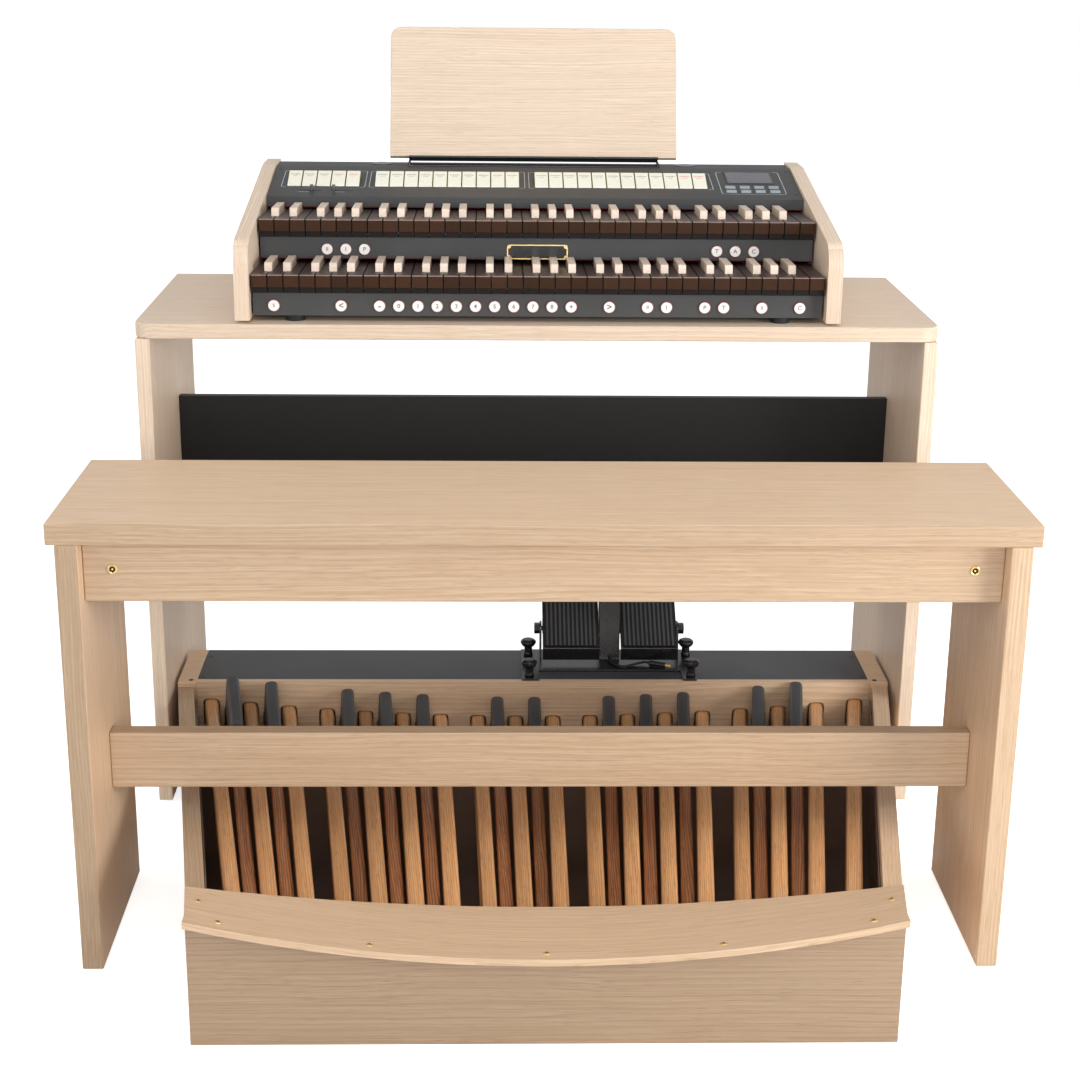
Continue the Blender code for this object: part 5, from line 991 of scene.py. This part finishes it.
def expression_pedals():
    """Treadles with ribbed mats whose crests are painted lighter as a highlight, their bracket, clamp knobs,
    lead and jack plug.
    """
    off = Vector((0, -math.sin(TREADLE_SLOPE), math.cos(TREADLE_SLOPE)))
    for side in ("left", "right"):
        body, treadle, pad = "expression_pedal_" + side, "treadle_" + side, "treadle_pad_" + side
        dressed(treadle, treadle + "_dressed", BLACK, (0.0009, 2, 25.0), body)
        bm = merged_copy(pad)
        # The ribs' crests take a painted highlight.
        crest = max(vert.co.dot(off) for vert in bm.verts) - 0.0003
        finished(pad + "_dressed", bm, [RUBBER, RIB_HIGHLIGHT], body, [pad],
                 lambda face: 1 if face.calc_center_median().dot(off) > crest else 0, soft=False)
    dressed("expression_bracket", "expression_bracket_dressed", BLACK, (0.0005, 2, 40.0))
    for place in ("front_left", "back_left", "front_right", "back_right"):
        knob = "clamp_knob_" + place
        dressed(knob, knob + "_dressed", BLACK, (0.0012, 3, 20.0))
    dressed("signal_lead", "signal_lead_jacket", RUBBER)
    ahead = Vector((math.cos(PLUG_TURN), -math.sin(PLUG_TURN), 0))
    dressed("jack_plug", "jack_plug_dressed", [BLACK, BRASS], (0.0004, 2, 40.0),
            choose=lambda face: 1 if (face.calc_center_median() - PLUG_START).dot(ahead) > PLUG_BARREL else 0)


# Studio

LIGHTS = (("left_light", (-2.3, -1.5, 1.15), (0, 0, 0.6), 1.3, 14),
          ("right_light", (2.15, -1.60, 1.00), (0, 0, 0.5), 1.0, 50),
          ("front_light", (-0.1, -6.0, 1.90), (0, 0, 0.4), 2.0, 140),
          ("top_light", (0.0, -1.2, 3.0), (0, -0.2, 0.5), 2.2, 27))


def studio():
    """A white ground, a world that is brighter behind and beside the organ, and four softboxes."""
    floor = bmesh.new()
    bmesh.ops.create_grid(floor, x_segments=1, y_segments=1, size=14.0)
    mesh = bpy.data.meshes.new("studio_floor")
    floor.to_mesh(mesh)
    floor.free()
    ground = bpy.data.objects.new("studio_floor", mesh)
    ground.location.z = -0.0006
    bpy.context.scene.collection.objects.link(ground)
    material = bpy.data.materials.new("white_floor")
    material.use_nodes = True
    tree = material.node_tree
    tree.nodes.remove(tree.nodes["Principled BSDF"])
    matt = put_node(tree, "ShaderNodeBsdfDiffuse", Color=(0.84, 0.84, 0.84, 1))
    path = put_node(tree, "ShaderNodeLightPath")
    strength = maths(tree, "MULTIPLY", path.outputs["Is Camera Ray"], 0.72)
    glow = put_node(tree, "ShaderNodeEmission", Color=(1, 1, 1, 1), Strength=strength)
    both = put_node(tree, "ShaderNodeAddShader")
    tree.links.new(matt.outputs[0], both.inputs[0])
    tree.links.new(glow.outputs[0], both.inputs[1])
    tree.links.new(both.outputs[0], tree.nodes["Material Output"].inputs["Surface"])
    mesh.materials.append(material)
    world = bpy.data.worlds.new("studio_world")
    bpy.context.scene.world = world
    world.use_nodes = True
    tree = world.node_tree
    path = put_node(tree, "ShaderNodeLightPath")
    look = put_node(tree, "ShaderNodeTexCoord").outputs["Generated"]
    toward = put_node(tree, "ShaderNodeSeparateXYZ", Vector=look)
    square = maths(tree, "MULTIPLY", toward.outputs["X"], toward.outputs["X"])
    sideways = maths(tree, "MULTIPLY", square, 0.8)
    around = maths(tree, "ADD", spread(tree, toward.outputs["Y"], -1.0, 1.0, 0.06, 0.60), sideways)
    strength = maths(tree, "MAXIMUM", around, path.outputs["Is Camera Ray"])
    sky = tree.nodes["Background"]
    sky.inputs["Color"].default_value = (1, 1, 1, 1)
    tree.links.new(strength, sky.inputs["Strength"])
    for light in LIGHTS:
        softbox(*light)
    bpy.context.scene.view_settings.view_transform = "Standard"


def softbox(name, place, target, size, power):
    """A square area light that faces its target."""
    lamp = bpy.data.lights.new(name, "AREA")
    lamp.shape = "SQUARE"
    lamp.size = size
    lamp.energy = power
    holder = bpy.data.objects.new(name, lamp)
    holder.location = place
    holder.rotation_euler = (Vector(target) - Vector(place)).to_track_quat("-Z", "Y").to_euler()
    bpy.context.scene.collection.objects.link(holder)


def camera():
    """The photograph's standpoint: in front of the bench, a little left, looking down."""
    yaw, pitch, roll = math.radians(1.52), math.radians(-17.65), math.radians(0.6)
    ahead = Vector((math.sin(yaw) * math.cos(pitch), math.cos(yaw) * math.cos(pitch), math.sin(pitch)))
    right = Vector((math.cos(yaw), -math.sin(yaw), 0))
    up = right.cross(ahead)
    level = right * math.cos(roll) + up * math.sin(roll)
    upright = up * math.cos(roll) - right * math.sin(roll)
    lens = bpy.data.cameras.new("photo_camera")
    lens.sensor_width = 36.0
    lens.sensor_fit = "HORIZONTAL"
    lens.lens = 64.91
    lens.clip_end = 60.0
    holder = bpy.data.objects.new("photo_camera", lens)
    turn = Matrix((level, upright, -ahead)).transposed().to_4x4()
    holder.matrix_world = Matrix.Translation((-0.0703, STAND_FRONT - 2.8323, 1.3406)) @ turn
    bpy.context.scene.collection.objects.link(holder)
    bpy.context.scene.camera = holder


oak_boards()
leg_glides()
manual_keys("lower")
manual_keys("upper")
key_felts()
rails()
pistons("pistons_lower", LOWER_MARKS)
pistons("pistons_middle", MIDDLE_MARKS)
nameplate()
control_panel()
tabs()
panel_print()
sliders()
display()
fasteners()
grommets()
desk_bracket()
console_case()
modesty_panel()
pedals()
pedalboard_sheets()
rail_liners()
expression_pedals()
studio()
camera()
